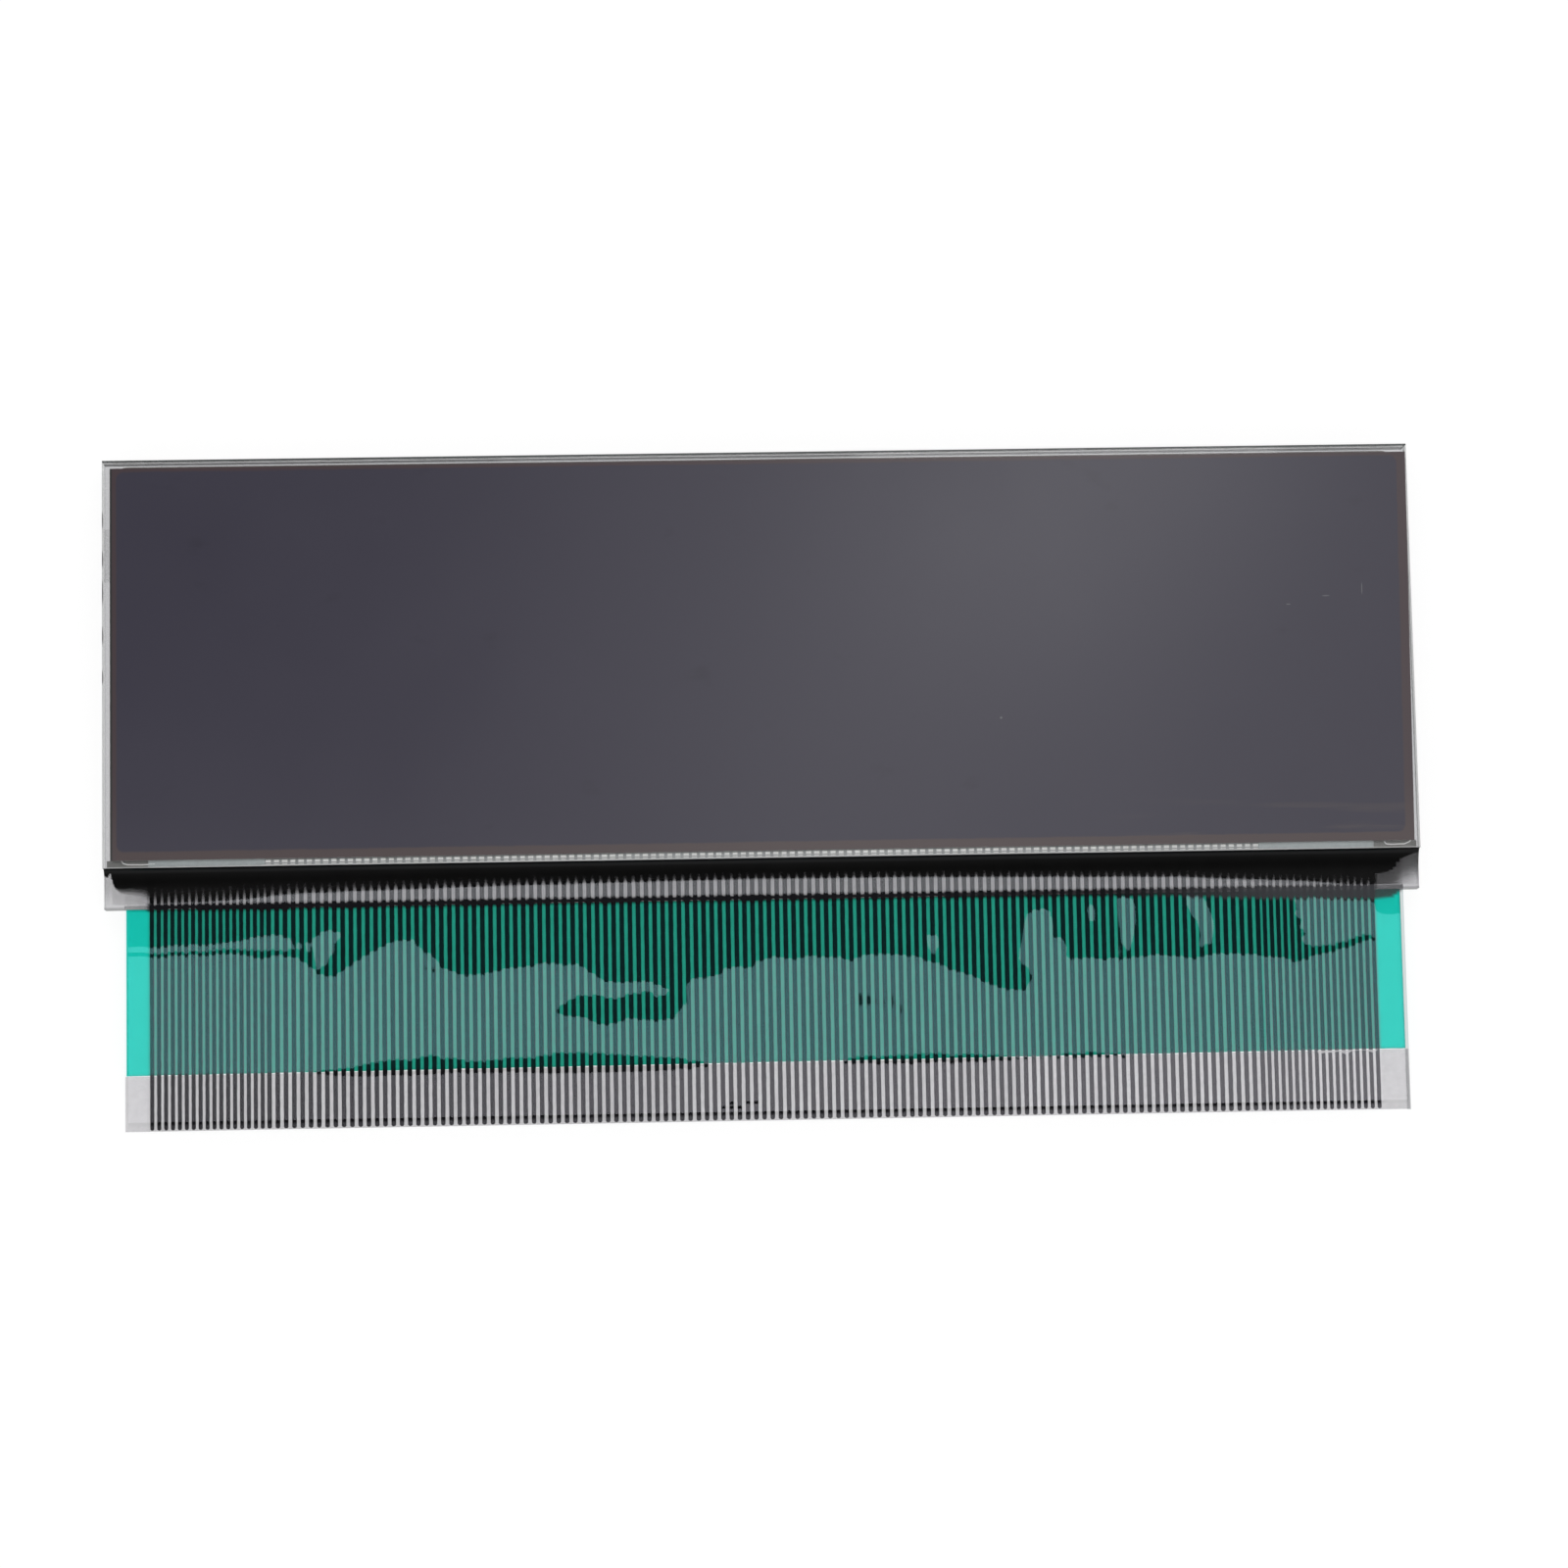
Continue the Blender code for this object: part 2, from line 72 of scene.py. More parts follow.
# Layers of the ribbon, level where it rests on the ledge
FILM_TOP = LEDGE_TOP + 0.15 * MM
FILM_THICKNESS = 0.05 * MM
CONDUCTOR_THICKNESS = 0.025 * MM
CONDUCTOR_CLEARANCE = 0.002 * MM
COAT_TOP = LEDGE_TOP + 0.05 * MM
COAT_THICKNESS = 0.03 * MM

# Printed conductors: a group for the rows at each side of the group for the columns
SIDE_CONDUCTORS, MIDDLE_CONDUCTORS = 17, 122
SIDE_PITCH, MIDDLE_PITCH = 0.5 * MM, 0.6 * MM
SIDE_CONDUCTOR_WIDTH, MIDDLE_CONDUCTOR_WIDTH = 0.295 * MM, 0.335 * MM
CONDUCTORS_OFFSET_X = -0.03 * MM
CONDUCTOR_END_FROM_EDGE = 0.12 * MM
CONDUCTOR_WAVINESS = 0.045 * MM
CONDUCTOR_ROUNDING = 0.13 * MM
# The narrowest share of a conductor's width at its rounded end, its rows along the film, and the
# power that gathers them towards the tail
CONDUCTOR_NARROWEST = 0.3
CONDUCTOR_ROWS, CONDUCTOR_ROW_GATHERING = 90, 1.6
# Noise per metre: GRAIN_APART sets each conductor and mark apart, SIDE_GRAIN a conductor's two sides
GRAIN_APART, SIDE_GRAIN, LENGTH_GRAIN, MARK_ROW_GRAIN = 40000.0, 9.0, 1900.0, 9000.0

# Glass edges: dark chips that hang from the upper edge of the left wall, in millimetres (middle y,
# half length), the fade of the painted shade line along an edge, and the painted shade line beside the
# right edge
LEFT_CHIPS = ((20.3, 0.8), (17.4, 0.8), (14.9, 1.2), (11.7, 0.85), (8.6, 0.6))
CHIP_DEPTH = 1.15 * MM
CHIP_RELIEF = 0.04 * MM
EDGE_SHADE_FADE = (0.16 * MM, 0.1 * MM)
SIDE_SHADE_INSET = 0.18 * MM
SIDE_SHADE_FADE = (0.07 * MM, 0.03 * MM)
WALL_DEPTH = 0.05 * MM
# Where along x the rear pane's painted shade on the ledge turns lighter at its left end, the marks end
# and the glass beside the ribbon starts, and how deep the painted highlight along the front glass's
# lower edge is, which stands for its ground chamfer catching the light
LIGHTER_SHADE_LEDGE_END = (-45.3 * MM, -46.2 * MM)
MARKS_END_FADE = (36.6 * MM, 36.9 * MM)
RIBBON_SIDE_FADE = (46.7 * MM, 46.9 * MM)
EDGE_HIGHLIGHT_FADE = (0.1 * MM, 0.06 * MM)
MOTTLE_RELIEF = 0.01 * MM

# Front polarizer: the lean of its right edge, and the fade of the dark rim at its left. The seal
# shows at its border as a brownish band, wider or narrower at three sides than at the left.
POLARIZER_OUT_OF_SQUARE = 0.34 * MM
POLARIZER_RIM_FADE = (0.2 * MM, 0.12 * MM)
BAND_WIDER_RIGHT, BAND_WIDER_BOTTOM, BAND_WIDER_TOP = 0.2 * MM, 0.16 * MM, -0.2 * MM
BAND_CORNER_RADIUS = 1.0 * MM
BAND_RAGGEDNESS = 0.12 * MM
BAND_FADE = (0.56 * MM, 0.38 * MM)
SEAL_LIGHTER_BELOW = 6.0 * MM
# Streaks at its lower right: their height above the front glass's edge, and x
STREAKS_HEIGHT_FADE = (4.2 * MM, 2.2 * MM)
STREAKS_RIGHT_FADE = (24.0 * MM, 36.0 * MM)
# Light specks and scratches on it, in millimetres (x, y, half width, half height)
PANEL_MARKS = (
    (17.6, 4.55, 0.11, 0.11), (41.9, 13.3, 0.35, 0.05), (44.6, 13.8, 0.05, 0.55), (39.1, 12.7, 0.2, 0.05),
)

# The green coat: how far its lower edge slants across the film, and its bare film at each side
COAT_SLANT = 0.4 * MM
COAT_INSET_LEFT, COAT_INSET_RIGHT = 0.03 * MM, 0.14 * MM
COAT_FROM_LEDGE = 0.05 * MM
COAT_ROWS = 46
# How far its lower edge wanders, and the two waves of that, in radians per metre
COAT_WANDER = 0.025 * MM
COAT_WANDER_WAVES = (900.0, 2330.0)

# The film's slope decides whether it mirrors the overhead softbox or the dark beside it. A level
# film would turn from one to the other along LEVEL_LINE, and TURN_RATE is the extra slope that a
# millimetre away from that line needs for the same turn.
LEVEL_LINE = -14.0 * MM
TURN_RATE = 0.00204 / MM
WAVE_SLOPE = 0.006
WAVE_SOFTNESS = 0.07 * MM
CONDUCTOR_LAG = 0.18 * MM
CONDUCTOR_LAG_SPREAD = 0.09 * MM
TAIL_CALM_Y = -21.6 * MM
TAIL_CALM_RUN = 1.0 * MM

# Rows of the film's grid: where each stretch ends, and how many rows it has
FILM_ROWS = (
    (-7.0 * MM, 3), (-8.1 * MM, 8), (LEDGE_EDGE, 5), (-9.0 * MM, 9), (-11.0 * MM, 16), (-12.2 * MM, 20),
    (-15.4 * MM, 32), (-19.3 * MM, 24), (-21.1 * MM, 20), (RIBBON_END, 4),
)

# The line across the free film below which it turns to the softbox, in millimetres (x, y)
TURN_LINE = (
    (-46.8, -11.86), (-43.6, -11.82), (-41.1, -11.76), (-38.6, -11.74), (-37.8, -11.88), (-37.3, -12.05),
    (-36.5, -12.0), (-35.7, -11.8), (-35.1, -11.9), (-34.3, -12.15), (-33.2, -12.8), (-32.9, -13.3),
    (-32.2, -13.55), (-31.6, -13.5), (-31.1, -13.2), (-30.2, -12.5), (-28.8, -11.75), (-27.3, -11.1),
    (-25.9, -10.85), (-25.2, -11.7), (-24.5, -12.1), (-23.5, -13.1), (-22.4, -13.55), (-20.9, -13.5),
    (-19.3, -13.2), (-17.6, -13.0), (-16.1, -12.75), (-14.8, -13.0), (-13.9, -12.9), (-12.8, -13.5),
    (-12.2, -14.0), (-10.9, -14.3), (-9.2, -14.2), (-8.1, -14.45), (-6.9, -15.1), (-6.0, -14.9),
    (-5.8, -14.2), (-4.2, -14.0), (-3.6, -13.9), (-3.0, -13.35), (-1.1, -13.3), (-0.7, -12.85),
    (0.6, -12.6), (1.3, -12.8), (3.6, -12.6), (5.6, -12.75), (6.0, -13.05), (7.1, -12.7), (8.2, -12.5),
    (10.7, -12.7), (11.9, -13.15), (13.7, -13.75), (15.7, -14.5), (16.5, -14.95), (17.7, -15.3),
    (18.8, -15.4), (19.2, -15.0), (19.5, -14.3), (20.0, -13.3), (22.9, -13.05), (25.1, -13.2),
    (28.7, -12.95), (31.1, -13.2), (33.8, -12.9), (35.8, -13.0), (38.1, -13.3), (38.9, -13.6),
    (40.4, -13.2), (43.0, -12.55), (44.3, -12.05), (47.4, -12.0),
)
# Outlines of the dimples above that line that turn to the softbox as well, in millimetres (x, y)
LIGHT_DIMPLES = (
    ((-47.4, -11.2), (-43.6, -11.08), (-40.3, -10.98), (-38.6, -10.85), (-37.0, -10.4), (-36.1, -10.35),
     (-35.3, -10.4), (-34.8, -10.6), (-34.4, -11.4), (-34.8, -11.5), (-36.1, -11.45), (-39.8, -11.42),
     (-42.1, -11.52), (-47.4, -11.58)),
    ((-34.3, -11.05), (-33.9, -11.0), (-33.9, -11.55), (-34.3, -11.6)),
    ((-33.7, -11.0), (-33.3, -10.9), (-33.3, -11.6), (-33.6, -11.7)),
    ((-33.2, -10.85), (-32.3, -10.25), (-31.8, -10.15), (-31.1, -10.3), (-31.1, -10.85), (-31.5, -10.95),
     (-31.6, -11.7), (-32.2, -12.75), (-32.8, -13.1), (-33.0, -12.3), (-33.1, -11.65)),
    ((11.8, -11.3), (12.6, -11.25), (12.7, -12.15), (12.3, -12.75), (11.9, -12.3)),
    ((18.5, -13.2), (19.0, -10.5), (19.3, -9.65), (20.0, -9.35), (20.8, -9.5), (21.1, -10.3),
     (21.1, -11.3), (21.9, -11.75), (22.1, -12.5), (22.0, -13.1), (20.0, -13.3), (19.5, -14.3),
     (19.2, -13.7)),
    ((23.7, -9.3), (24.2, -9.2), (24.2, -10.35), (23.8, -10.6)),
    ((25.9, -8.6), (26.8, -8.6), (27.2, -9.1), (27.2, -10.5), (27.0, -11.8), (26.6, -12.7),
     (26.1, -11.95), (25.9, -9.8)),
    ((31.0, -8.6), (32.1, -8.6), (32.7, -9.6), (33.0, -10.9), (32.8, -12.15), (31.8, -12.4),
     (32.0, -11.45), (31.7, -10.35), (31.0, -9.4)),
    ((38.9, -9.0), (40.3, -8.95), (44.9, -9.15), (45.0, -10.0), (45.7, -10.25), (46.3, -10.25),
     (47.0, -10.05), (47.4, -12.4), (44.9, -12.35), (44.9, -11.8), (44.3, -11.65), (43.7, -11.75),
     (42.6, -12.2), (41.7, -12.35), (40.2, -12.6), (39.9, -12.3), (39.3, -12.1), (39.8, -11.4),
     (39.2, -11.1), (39.6, -10.5), (38.9, -10.2), (39.2, -9.7)),
)
# Outlines of the dimples below that line that stay dark
DARK_DIMPLES = (
    ((-15.4, -16.2), (-14.5, -15.6), (-13.7, -15.25), (-12.6, -15.15), (-10.9, -15.5), (-10.2, -15.15),
     (-8.6, -15.0), (-8.1, -15.45), (-7.3, -15.25), (-6.9, -14.85), (-5.9, -14.7), (-5.8, -15.75),
     (-6.4, -16.45), (-6.8, -17.0), (-8.2, -17.2), (-10.2, -16.85), (-10.8, -17.2), (-12.4, -17.35),
     (-13.0, -16.9), (-15.4, -16.6)),
    ((-35.6, -20.6), (-32.5, -20.45), (-30.8, -20.2), (-28.6, -19.8), (-25.6, -19.65), (-24.8, -19.4),
     (-23.7, -19.6), (-21.3, -19.85), (-19.1, -19.7), (-17.3, -19.65), (-15.3, -19.4), (-11.7, -19.45),
     (-8.9, -19.75), (-6.3, -19.95), (-3.7, -20.4), (-5.4, -20.65), (-7.4, -20.9), (-11.7, -21.05),
     (-16.0, -21.1), (-17.7, -20.75), (-22.4, -20.7), (-25.3, -20.9), (-28.8, -21.0), (-32.5, -20.7)),
    ((5.3, -20.4), (6.2, -20.1), (8.9, -20.0), (11.2, -19.95), (15.5, -20.0), (18.4, -20.25),
     (23.3, -20.0), (26.2, -20.2), (29.9, -20.4), (24.4, -20.35), (20.4, -20.3), (16.4, -20.5),
     (11.2, -20.6), (5.3, -20.5)),
)
# Small dark marks in the light part, in millimetres (x, y, half width, half height)
DARK_MARKS = (
    (-24.9, -13.1, 0.15, 0.2), (-24.3, -13.25, 0.15, 0.32), (-24.2, -18.05, 0.12, 0.2),
    (-23.6, -18.15, 0.12, 0.18), (4.9, -15.55, 0.15, 0.15), (6.8, -15.95, 0.2, 0.7),
    (7.4, -16.0, 0.2, 0.6), (7.9, -16.0, 0.2, 0.8), (8.5, -16.15, 0.2, 1.0), (9.1, -16.1, 0.25, 0.9),
    (9.7, -16.7, 0.25, 0.7),
)

# Dull spots on the bare tail, in millimetres (x, y)
TAIL_SPOTS = (
    (-3.27, -23.65), (-2.69, -23.35), (-2.7, -23.66), (-2.12, -23.67), (-1.47, -23.32), (-0.94, -23.33),
)
TAIL_SPOT_HALVES = (0.3 * MM, 0.14 * MM)
# Painted shade: the grey rim at the film's right edge, from where it starts to where it is full
FILM_RIM_SHADE_FADE = (0.34 * MM, 0.26 * MM)

# Upper edge of the resin's thin glossy foot, in millimetres (x, y)
FOOT_LINE = (
    (-46.9, -8.1), (-40.4, -7.95), (-37.8, -7.8), (-34.9, -7.5), (-31.2, -7.4), (-20.9, -7.2),
    (-1.5, -6.95), (10.0, -7.0), (30.4, -7.3), (34.0, -7.5), (39.7, -7.75), (43.5, -8.1), (47.1, -8.2),
)
FOOT_LINE_SOFTNESS = 0.06 * MM
FOOT_GLOSS_SHARE = 0.072
# A faint shine along a line below the front glass
TOP_GLOSS = 0.1
TOP_GLOSS_REACH, TOP_GLOSS_SOFTNESS = 0.22 * MM, 0.08 * MM

# Painted shade: a dark band on the film where it leaves the ledge. Its lower edge, in millimetres (x, y)
SHADE_BAND_EDGE = (
    (-47.0, -8.4), (-44.9, -8.44), (-39.5, -8.55), (-25.8, -8.52), (-12.0, -8.48), (1.8, -8.48),
    (8.7, -8.5), (22.6, -8.56), (30.0, -8.66), (36.5, -8.88), (43.5, -9.05), (45.0, -9.08), (46.2, -8.95),
    (47.1, -8.4),
)
SHADE_BAND_START = -8.2 * MM
SHADE_BAND_SOFTNESS = 0.12 * MM
# Its lower edge follows this share of the conductors' lag. Over the run to the right it turns softer and
# loses a little, it loses more past the last conductor, and its left margin keeps only a share.
SHADE_BAND_LAG_SHARE = 0.8
SHADE_BAND_RIGHT_RUN = 30.0 * MM
SHADE_BAND_LOSS_RIGHT, SHADE_BAND_LOSS_PAST_LAST = 0.15, 0.1
SHADE_BAND_LEFT_MARGIN = 0.45

# Mirror colours of the film: over an ink line, over the green between two lines, over the plain
# green margins, and where no green is under it
SHEEN_ON_INK = (0.3, 0.75, 0.79)
SHEEN_ON_GREEN = (0.74, 0.56, 0.8)
SHEEN_ON_MARGIN = (0.28, 0.87, 0.92)
SHEEN_BARE = (0.73, 0.71, 0.78)
FILM_MIRROR_SHARE = 0.085
# How the bare film's mirror colour grows from the left to the right, in millimetres (x, factor)
BARE_SHEEN_RAMP = ((-47.0, 0.45), (-20.0, 0.8), (0.0, 1.0), (47.0, 1.3))
BARE_MARGIN_FACTOR = 0.85

# Black edge resin: reach is measured from the front glass towards the tail
RESIN_WIDTH = 2.6 * MM
RESIN_TOP = FRONT_GLASS[1].z - 0.12 * MM
RESIN_FOOT = 0.012 * MM
RESIN_ROWS, RESIN_ROW_GATHERING = 40, 1.2
RESIN_CLEARANCE = 0.02 * MM
RESIN_OFF_FILM = 0.004 * MM
# Over each conductor the black reaches further by RESIN_TIP
RESIN_TIP = 0.4 * MM
RESIN_TIP_HALF_WIDTH = 0.6 * MIDDLE_CONDUCTOR_WIDTH
# Painted shadow beside the conductors, a smoky grey in the resin, fainter at the left
SIDE_SHADOW_REACH = 2.5 * MM
SIDE_SHADOW_COVER = 0.86
SIDE_SHADOW_LEFT_SHARE = 0.35
# How far the resin takes to turn from black to clear, a painted shadow's soft edge, in millimetres
# (x, length)
RESIN_SHADOW_FADES = (
    (-47.6, 0.15), (-47.45, 0.3), (-47.05, 0.75), (-46.4, 1.1), (-45.1, 1.4), (-44.0, 1.8), (-40.3, 1.9),
    (-34.0, 1.3), (-25.0, 1.0), (-15.0, 0.8), (20.0, 0.76), (30.0, 0.78), (38.0, 1.1), (45.1, 1.2),
    (45.2, 0.15),
)
# How far the resin stays black between the conductors, partly resin and partly painted shadow, in
# millimetres (x, reach)
RESIN_AND_SHADOW_BLACK_REACH = (
    (-48.3, 0.38), (-48.0, 0.55), (-47.88, 0.4), (-47.8, 0.2), (-47.72, 0.55), (-47.58, 1.1),
    (-47.45, 1.25), (-47.0, 1.25), (-46.4, 1.1), (-45.1, 1.1), (-44.5, 1.05), (-43.0, 0.95), (-41.0, 0.88),
    (-30.0, 0.85), (-15.0, 0.82), (5.0, 0.8), (20.0, 1.0), (30.0, 1.15), (38.0, 1.4), (44.0, 1.65),
    (45.2, 1.75), (45.9, 1.68), (46.25, 1.55), (46.6, 1.22), (46.86, 0.85), (47.1, 0.65), (47.4, 0.54),
    (47.9, 0.32), (48.2, 0.3),
)

# Marks of the electrodes' ends in the gap between the plates, in rows (inset, height), and the lean
# that makes them shine
MARK_LENGTH = 0.37 * MM
MARK_UNEVENNESS = 0.2 * MM
MARK_ROWS = ((0.46 * MM, 0.2 * MM), (0.25 * MM, 0.07 * MM))
MARK_TOP = FRONT_GLASS[0].z - 0.02 * MM
MARK_THICKNESS = 0.01 * MM
MARK_LEAN = 0.09
# Resin drawn into the gap between the plates: its heights, its clearances and its grid
GAP_RESIN_TOP = MARK_TOP - MARK_THICKNESS - 0.012 * MM
GAP_RESIN_FALL = 0.03 * MM
GAP_RESIN_BOTTOM = LEDGE_TOP + 0.02 * MM
GAP_RESIN_CLEARANCE = 0.01 * MM
GAP_RESIN_INSET_LEFT, GAP_RESIN_INSET_RIGHT = 0.2 * MM, 0.1 * MM
GAP_RESIN_COLUMNS, GAP_RESIN_ROWS = 40, 4
# Electrodes round the lower corners of the gap, in millimetres (x, y)
CORNER_LINES = {
    "corner_electrode_left": (
        (-47.15, -4.3), (-47.1, -4.75), (-46.9, -5.05), (-46.6, -5.14), (-45.6, -5.16), (-44.6, -5.14),
    ),
    "corner_electrode_right": (
        (45.8, -4.9), (45.95, -5.1), (46.3, -5.14), (47.3, -5.12), (47.7, -4.95), (47.95, -4.6),
    ),
}
CORNER_LINE_WIDTH = 0.09 * MM

# Camera, at the photograph's viewing angle
CAMERA_PLACE = (-9.06 * MM, -39.2 * MM, 323.63 * MM)
CAMERA_TURN = (6.974, -1.764, -0.909)
CAMERA_LENS = 101.25
SENSOR_WIDTH = 36.0

# Overhead softbox, whose far edge gives the film its two tones, and three lamps beyond that edge,
# which the polarizer mirrors as a broad sheen and a slanting highlight with its tail
LAMP_HEIGHT = 1.0
SOFTBOX_EDGE_Y = 0.0641
SOFTBOX_WIDTH, SOFTBOX_DEPTH = 0.84, 0.36
# Each lamp's middle (x, y), width and depth, how bright its face looks, how far it hangs below
# LAMP_HEIGHT, and its turn in degrees
LAMPS = {
    "softbox": ((0.03, SOFTBOX_EDGE_Y - SOFTBOX_DEPTH / 2), (SOFTBOX_WIDTH, SOFTBOX_DEPTH), 1.6, 0.0, 0.0),
    "broad sheen": ((0.175, 0.205), (0.45, 0.25), 0.66, 0.0, 0.0),
    "highlight": ((0.128, 0.228), (0.1, 0.13), 1.75, 0.01, -38.0),
    "highlight tail": ((0.064, 0.145), (0.07, 0.1), 0.75, 0.02, -35.0),
}
SKY_SIDE, SKY_TOP = 1.2, 0.06
# The floor glows for the camera and in mirrors, so that it looks evenly white there
FLOOR_SIZE = 6.0
FLOOR_DROP = 0.02 * MM
FLOOR_GLOW = 0.87


def conductors():
    """(centre, width) of every printed conductor, from left to right."""
    span = 2 * SIDE_CONDUCTORS * SIDE_PITCH + (MIDDLE_CONDUCTORS - 1) * MIDDLE_PITCH
    centre = CONDUCTORS_OFFSET_X - span / 2
    found = []
    for index in range(2 * SIDE_CONDUCTORS + MIDDLE_CONDUCTORS):
        in_middle = SIDE_CONDUCTORS <= index < SIDE_CONDUCTORS + MIDDLE_CONDUCTORS
        found.append((centre, MIDDLE_CONDUCTOR_WIDTH if in_middle else SIDE_CONDUCTOR_WIDTH))
        last_of_middle = index == SIDE_CONDUCTORS + MIDDLE_CONDUCTORS - 1
        centre += MIDDLE_PITCH if in_middle and not last_of_middle else SIDE_PITCH
    return found


CONDUCTORS = conductors()
CENTRES = np.array([centre for centre, width in CONDUCTORS])
WIDTHS = np.array([width for centre, width in CONDUCTORS])
FIRST_LINE, LAST_LINE = CENTRES[0], CENTRES[-1]


class Tree:
    """A node tree, with short calls for the nodes that finishes, recipes and the sky share."""

    def __init__(self, tree):
        self.tree = tree
        tree.nodes.clear()

    def feed(self, socket, value):
        if isinstance(value, bpy.types.NodeSocket):
            self.tree.links.new(value, socket)
        elif hasattr(value, "__len__") and len(value) == 3 and socket.type == "RGBA":
            socket.default_value = (*value, 1.0)
        else:
            socket.default_value = value

    def node(self, kind, inputs=None, **settings):
        made = self.tree.nodes.new(kind)
        for name, value in settings.items():
            setattr(made, name, value)
        for key, value in (inputs or {}).items():
            self.feed(made.inputs[key], value)
        return made

    def math(self, operation, *values):
        return self.node("ShaderNodeMath", dict(enumerate(values)), operation=operation).outputs[0]

    def add(self, first, second):
        return self.math("ADD", first, second)

    def minus(self, first, second):
        return self.math("SUBTRACT", first, second)

    def times(self, first, *others):
        for other in others:
            first = self.math("MULTIPLY", first, other)
        return first

    def larger(self, first, second):
        return self.math("MAXIMUM", first, second)

    def size(self, value):
        return self.math("ABSOLUTE", value)

    def noise(self, vector, scale, detail):
        inputs = {"Vector": vector, "Scale": scale, "Detail": detail}
        return self.node("ShaderNodeTexNoise", inputs).outputs["Fac"]

    def xyz(self, vector):
        return self.node("ShaderNodeSeparateXYZ", {0: vector}).outputs


class Finish(Tree):
    """A material and its shader nodes."""

    def __init__(self, name):
        self.material = bpy.data.materials.new(name)
        self.material.use_nodes = True
        super().__init__(self.material.node_tree)
        self.place = self.node("ShaderNodeTexCoord").outputs["Object"]
        self.x, self.y, self.z = self.xyz(self.place)

    def attribute(self, name, output="Fac"):
        return self.node("ShaderNodeAttribute", attribute_name=name).outputs[output]

    def fade(self, value, low, high):
        """0 below low and 1 above high, smooth between them."""
        inputs = {"Value": value, "From Min": low, "From Max": high}
        made = self.node("ShaderNodeMapRange", inputs, interpolation_type="SMOOTHSTEP", clamp=True)
        return made.outputs["Result"]

    def spot(self, x, y, middle_x, middle_y, half_x, half_y):
        """1 at a place and 0 beyond the rim of the oval around it."""
        across = self.math("DIVIDE", self.minus(x, middle_x), half_x)
        up = self.math("DIVIDE", self.minus(y, middle_y), half_y)
        return self.fade(self.add(self.times(across, across), self.times(up, up)), 1.0, 0.2)

    def mottle(self, scale, detail=3.0, stretch=None):
        """Noise fixed to the object, finer along an axis with a larger stretch."""
        place = self.place
        if stretch:
            place = self.node("ShaderNodeMapping", {"Vector": place, "Scale": stretch}).outputs[0]
        return self.noise(place, scale, detail)

    def mix(self, share, first, second):
        made = self.node("ShaderNodeMix", data_type="RGBA")
        for socket, value in zip((made.inputs[0], made.inputs[6], made.inputs[7]), (share, first, second)):
            self.feed(socket, value)
        return made.outputs[2]

    def mix_shader(self, share, first, second):
        return self.node("ShaderNodeMixShader", {0: share, 1: first, 2: second}).outputs[0]

    def clear(self, tint):
        return self.node("ShaderNodeBsdfTransparent", {"Color": tint}).outputs[0]

    def mirror(self, colour, roughness):
        return self.node("ShaderNodeBsdfGlossy", {"Color": colour, "Roughness": roughness}).outputs[0]

    def plastic(self, colour, roughness, normal=None, **sockets):
        shader = self.node("ShaderNodeBsdfPrincipled", {"Base Color": colour, "Roughness": roughness})
        for name, value in sockets.items():
            self.feed(shader.inputs[name.replace("_", " ")], value)
        if normal is not None:
            self.feed(shader.inputs["Normal"], normal)
        return shader.outputs[0]

    def bump(self, height, distance):
        return self.node("ShaderNodeBump", {"Height": height, "Distance": distance}).outputs[0]

    def gloss_share(self, straight_on):
        """Schlick's rule: how much a clear surface mirrors, from both of its sides alike."""
        facing = self.node("ShaderNodeLayerWeight", {"Blend": 0.5}).outputs["Facing"]
        grazing = self.math("POWER", facing, 5.0)
        return self.math("MULTIPLY_ADD", grazing, 1.0 - straight_on, straight_on)

    def done(self, shader):
        self.node("ShaderNodeOutputMaterial", {"Surface": shader})
        return self.material


# Finishes


def depth_in_rounded(look, distances, radius):
    """Distance into a rectangle with rounded corners, from the distances to its four sides."""
    left, right, bottom, top = distances
    from_sides = look.math("MINIMUM", left, right)
    from_ends = look.math("MINIMUM", bottom, top)
    nearest = look.math("MINIMUM", from_sides, from_ends)
    corner_x = look.larger(look.minus(radius, from_sides), 0.0)
    corner_y = look.larger(look.minus(radius, from_ends), 0.0)
    squares = look.add(look.times(corner_x, corner_x), look.times(corner_y, corner_y))
    return look.math("MINIMUM", nearest, look.minus(radius, look.math("SQRT", squares)))


def polarizer_finish():
    """Dark purple-grey film, softly glossy, with the brownish seal showing at its border."""
    look = Finish("polarizing film")
    x, y = look.x, look.y
    ground = look.mix(look.mottle(60.0, detail=2.0), (0.057, 0.053, 0.076), (0.064, 0.06, 0.084))
    base = polarizer_marks(look, ground)
    (left, bottom, _), (right, top, _) = POLARIZER
    slant = look.times(look.minus(y, bottom), POLARIZER_OUT_OF_SQUARE / (top - bottom))
    right_line = look.add(slant, right - POLARIZER_OUT_OF_SQUARE)
    from_left = look.minus(x, left)
    to_right = look.minus(look.minus(right_line, x), BAND_WIDER_RIGHT)
    to_bottom = look.minus(y, bottom + BAND_WIDER_BOTTOM)
    to_top = look.minus(top - BAND_WIDER_TOP, y)
    inside = depth_in_rounded(look, (from_left, to_right, to_bottom, to_top), BAND_CORNER_RADIUS)
    ragged = look.times(look.minus(look.mottle(900.0), 0.5), BAND_RAGGEDNESS)
    band = look.fade(look.add(inside, ragged), *BAND_FADE)
    low_share = look.fade(y, FRONT_GLASS_EDGE + SEAL_LIGHTER_BELOW, FRONT_GLASS_EDGE)
    seal_colour = look.mix(low_share, (0.088, 0.062, 0.066), (0.108, 0.082, 0.08))
    base = look.mix(look.times(band, 0.85), base, seal_colour)
    rim = look.fade(from_left, *POLARIZER_RIM_FADE)
    base = look.mix(look.times(rim, 0.8), base, (0.04, 0.046, 0.046))
    roughness = look.math("MULTIPLY_ADD", look.mottle(120.0), 0.04, 0.15)
    return look.done(look.plastic(base, roughness, IOR=1.5))


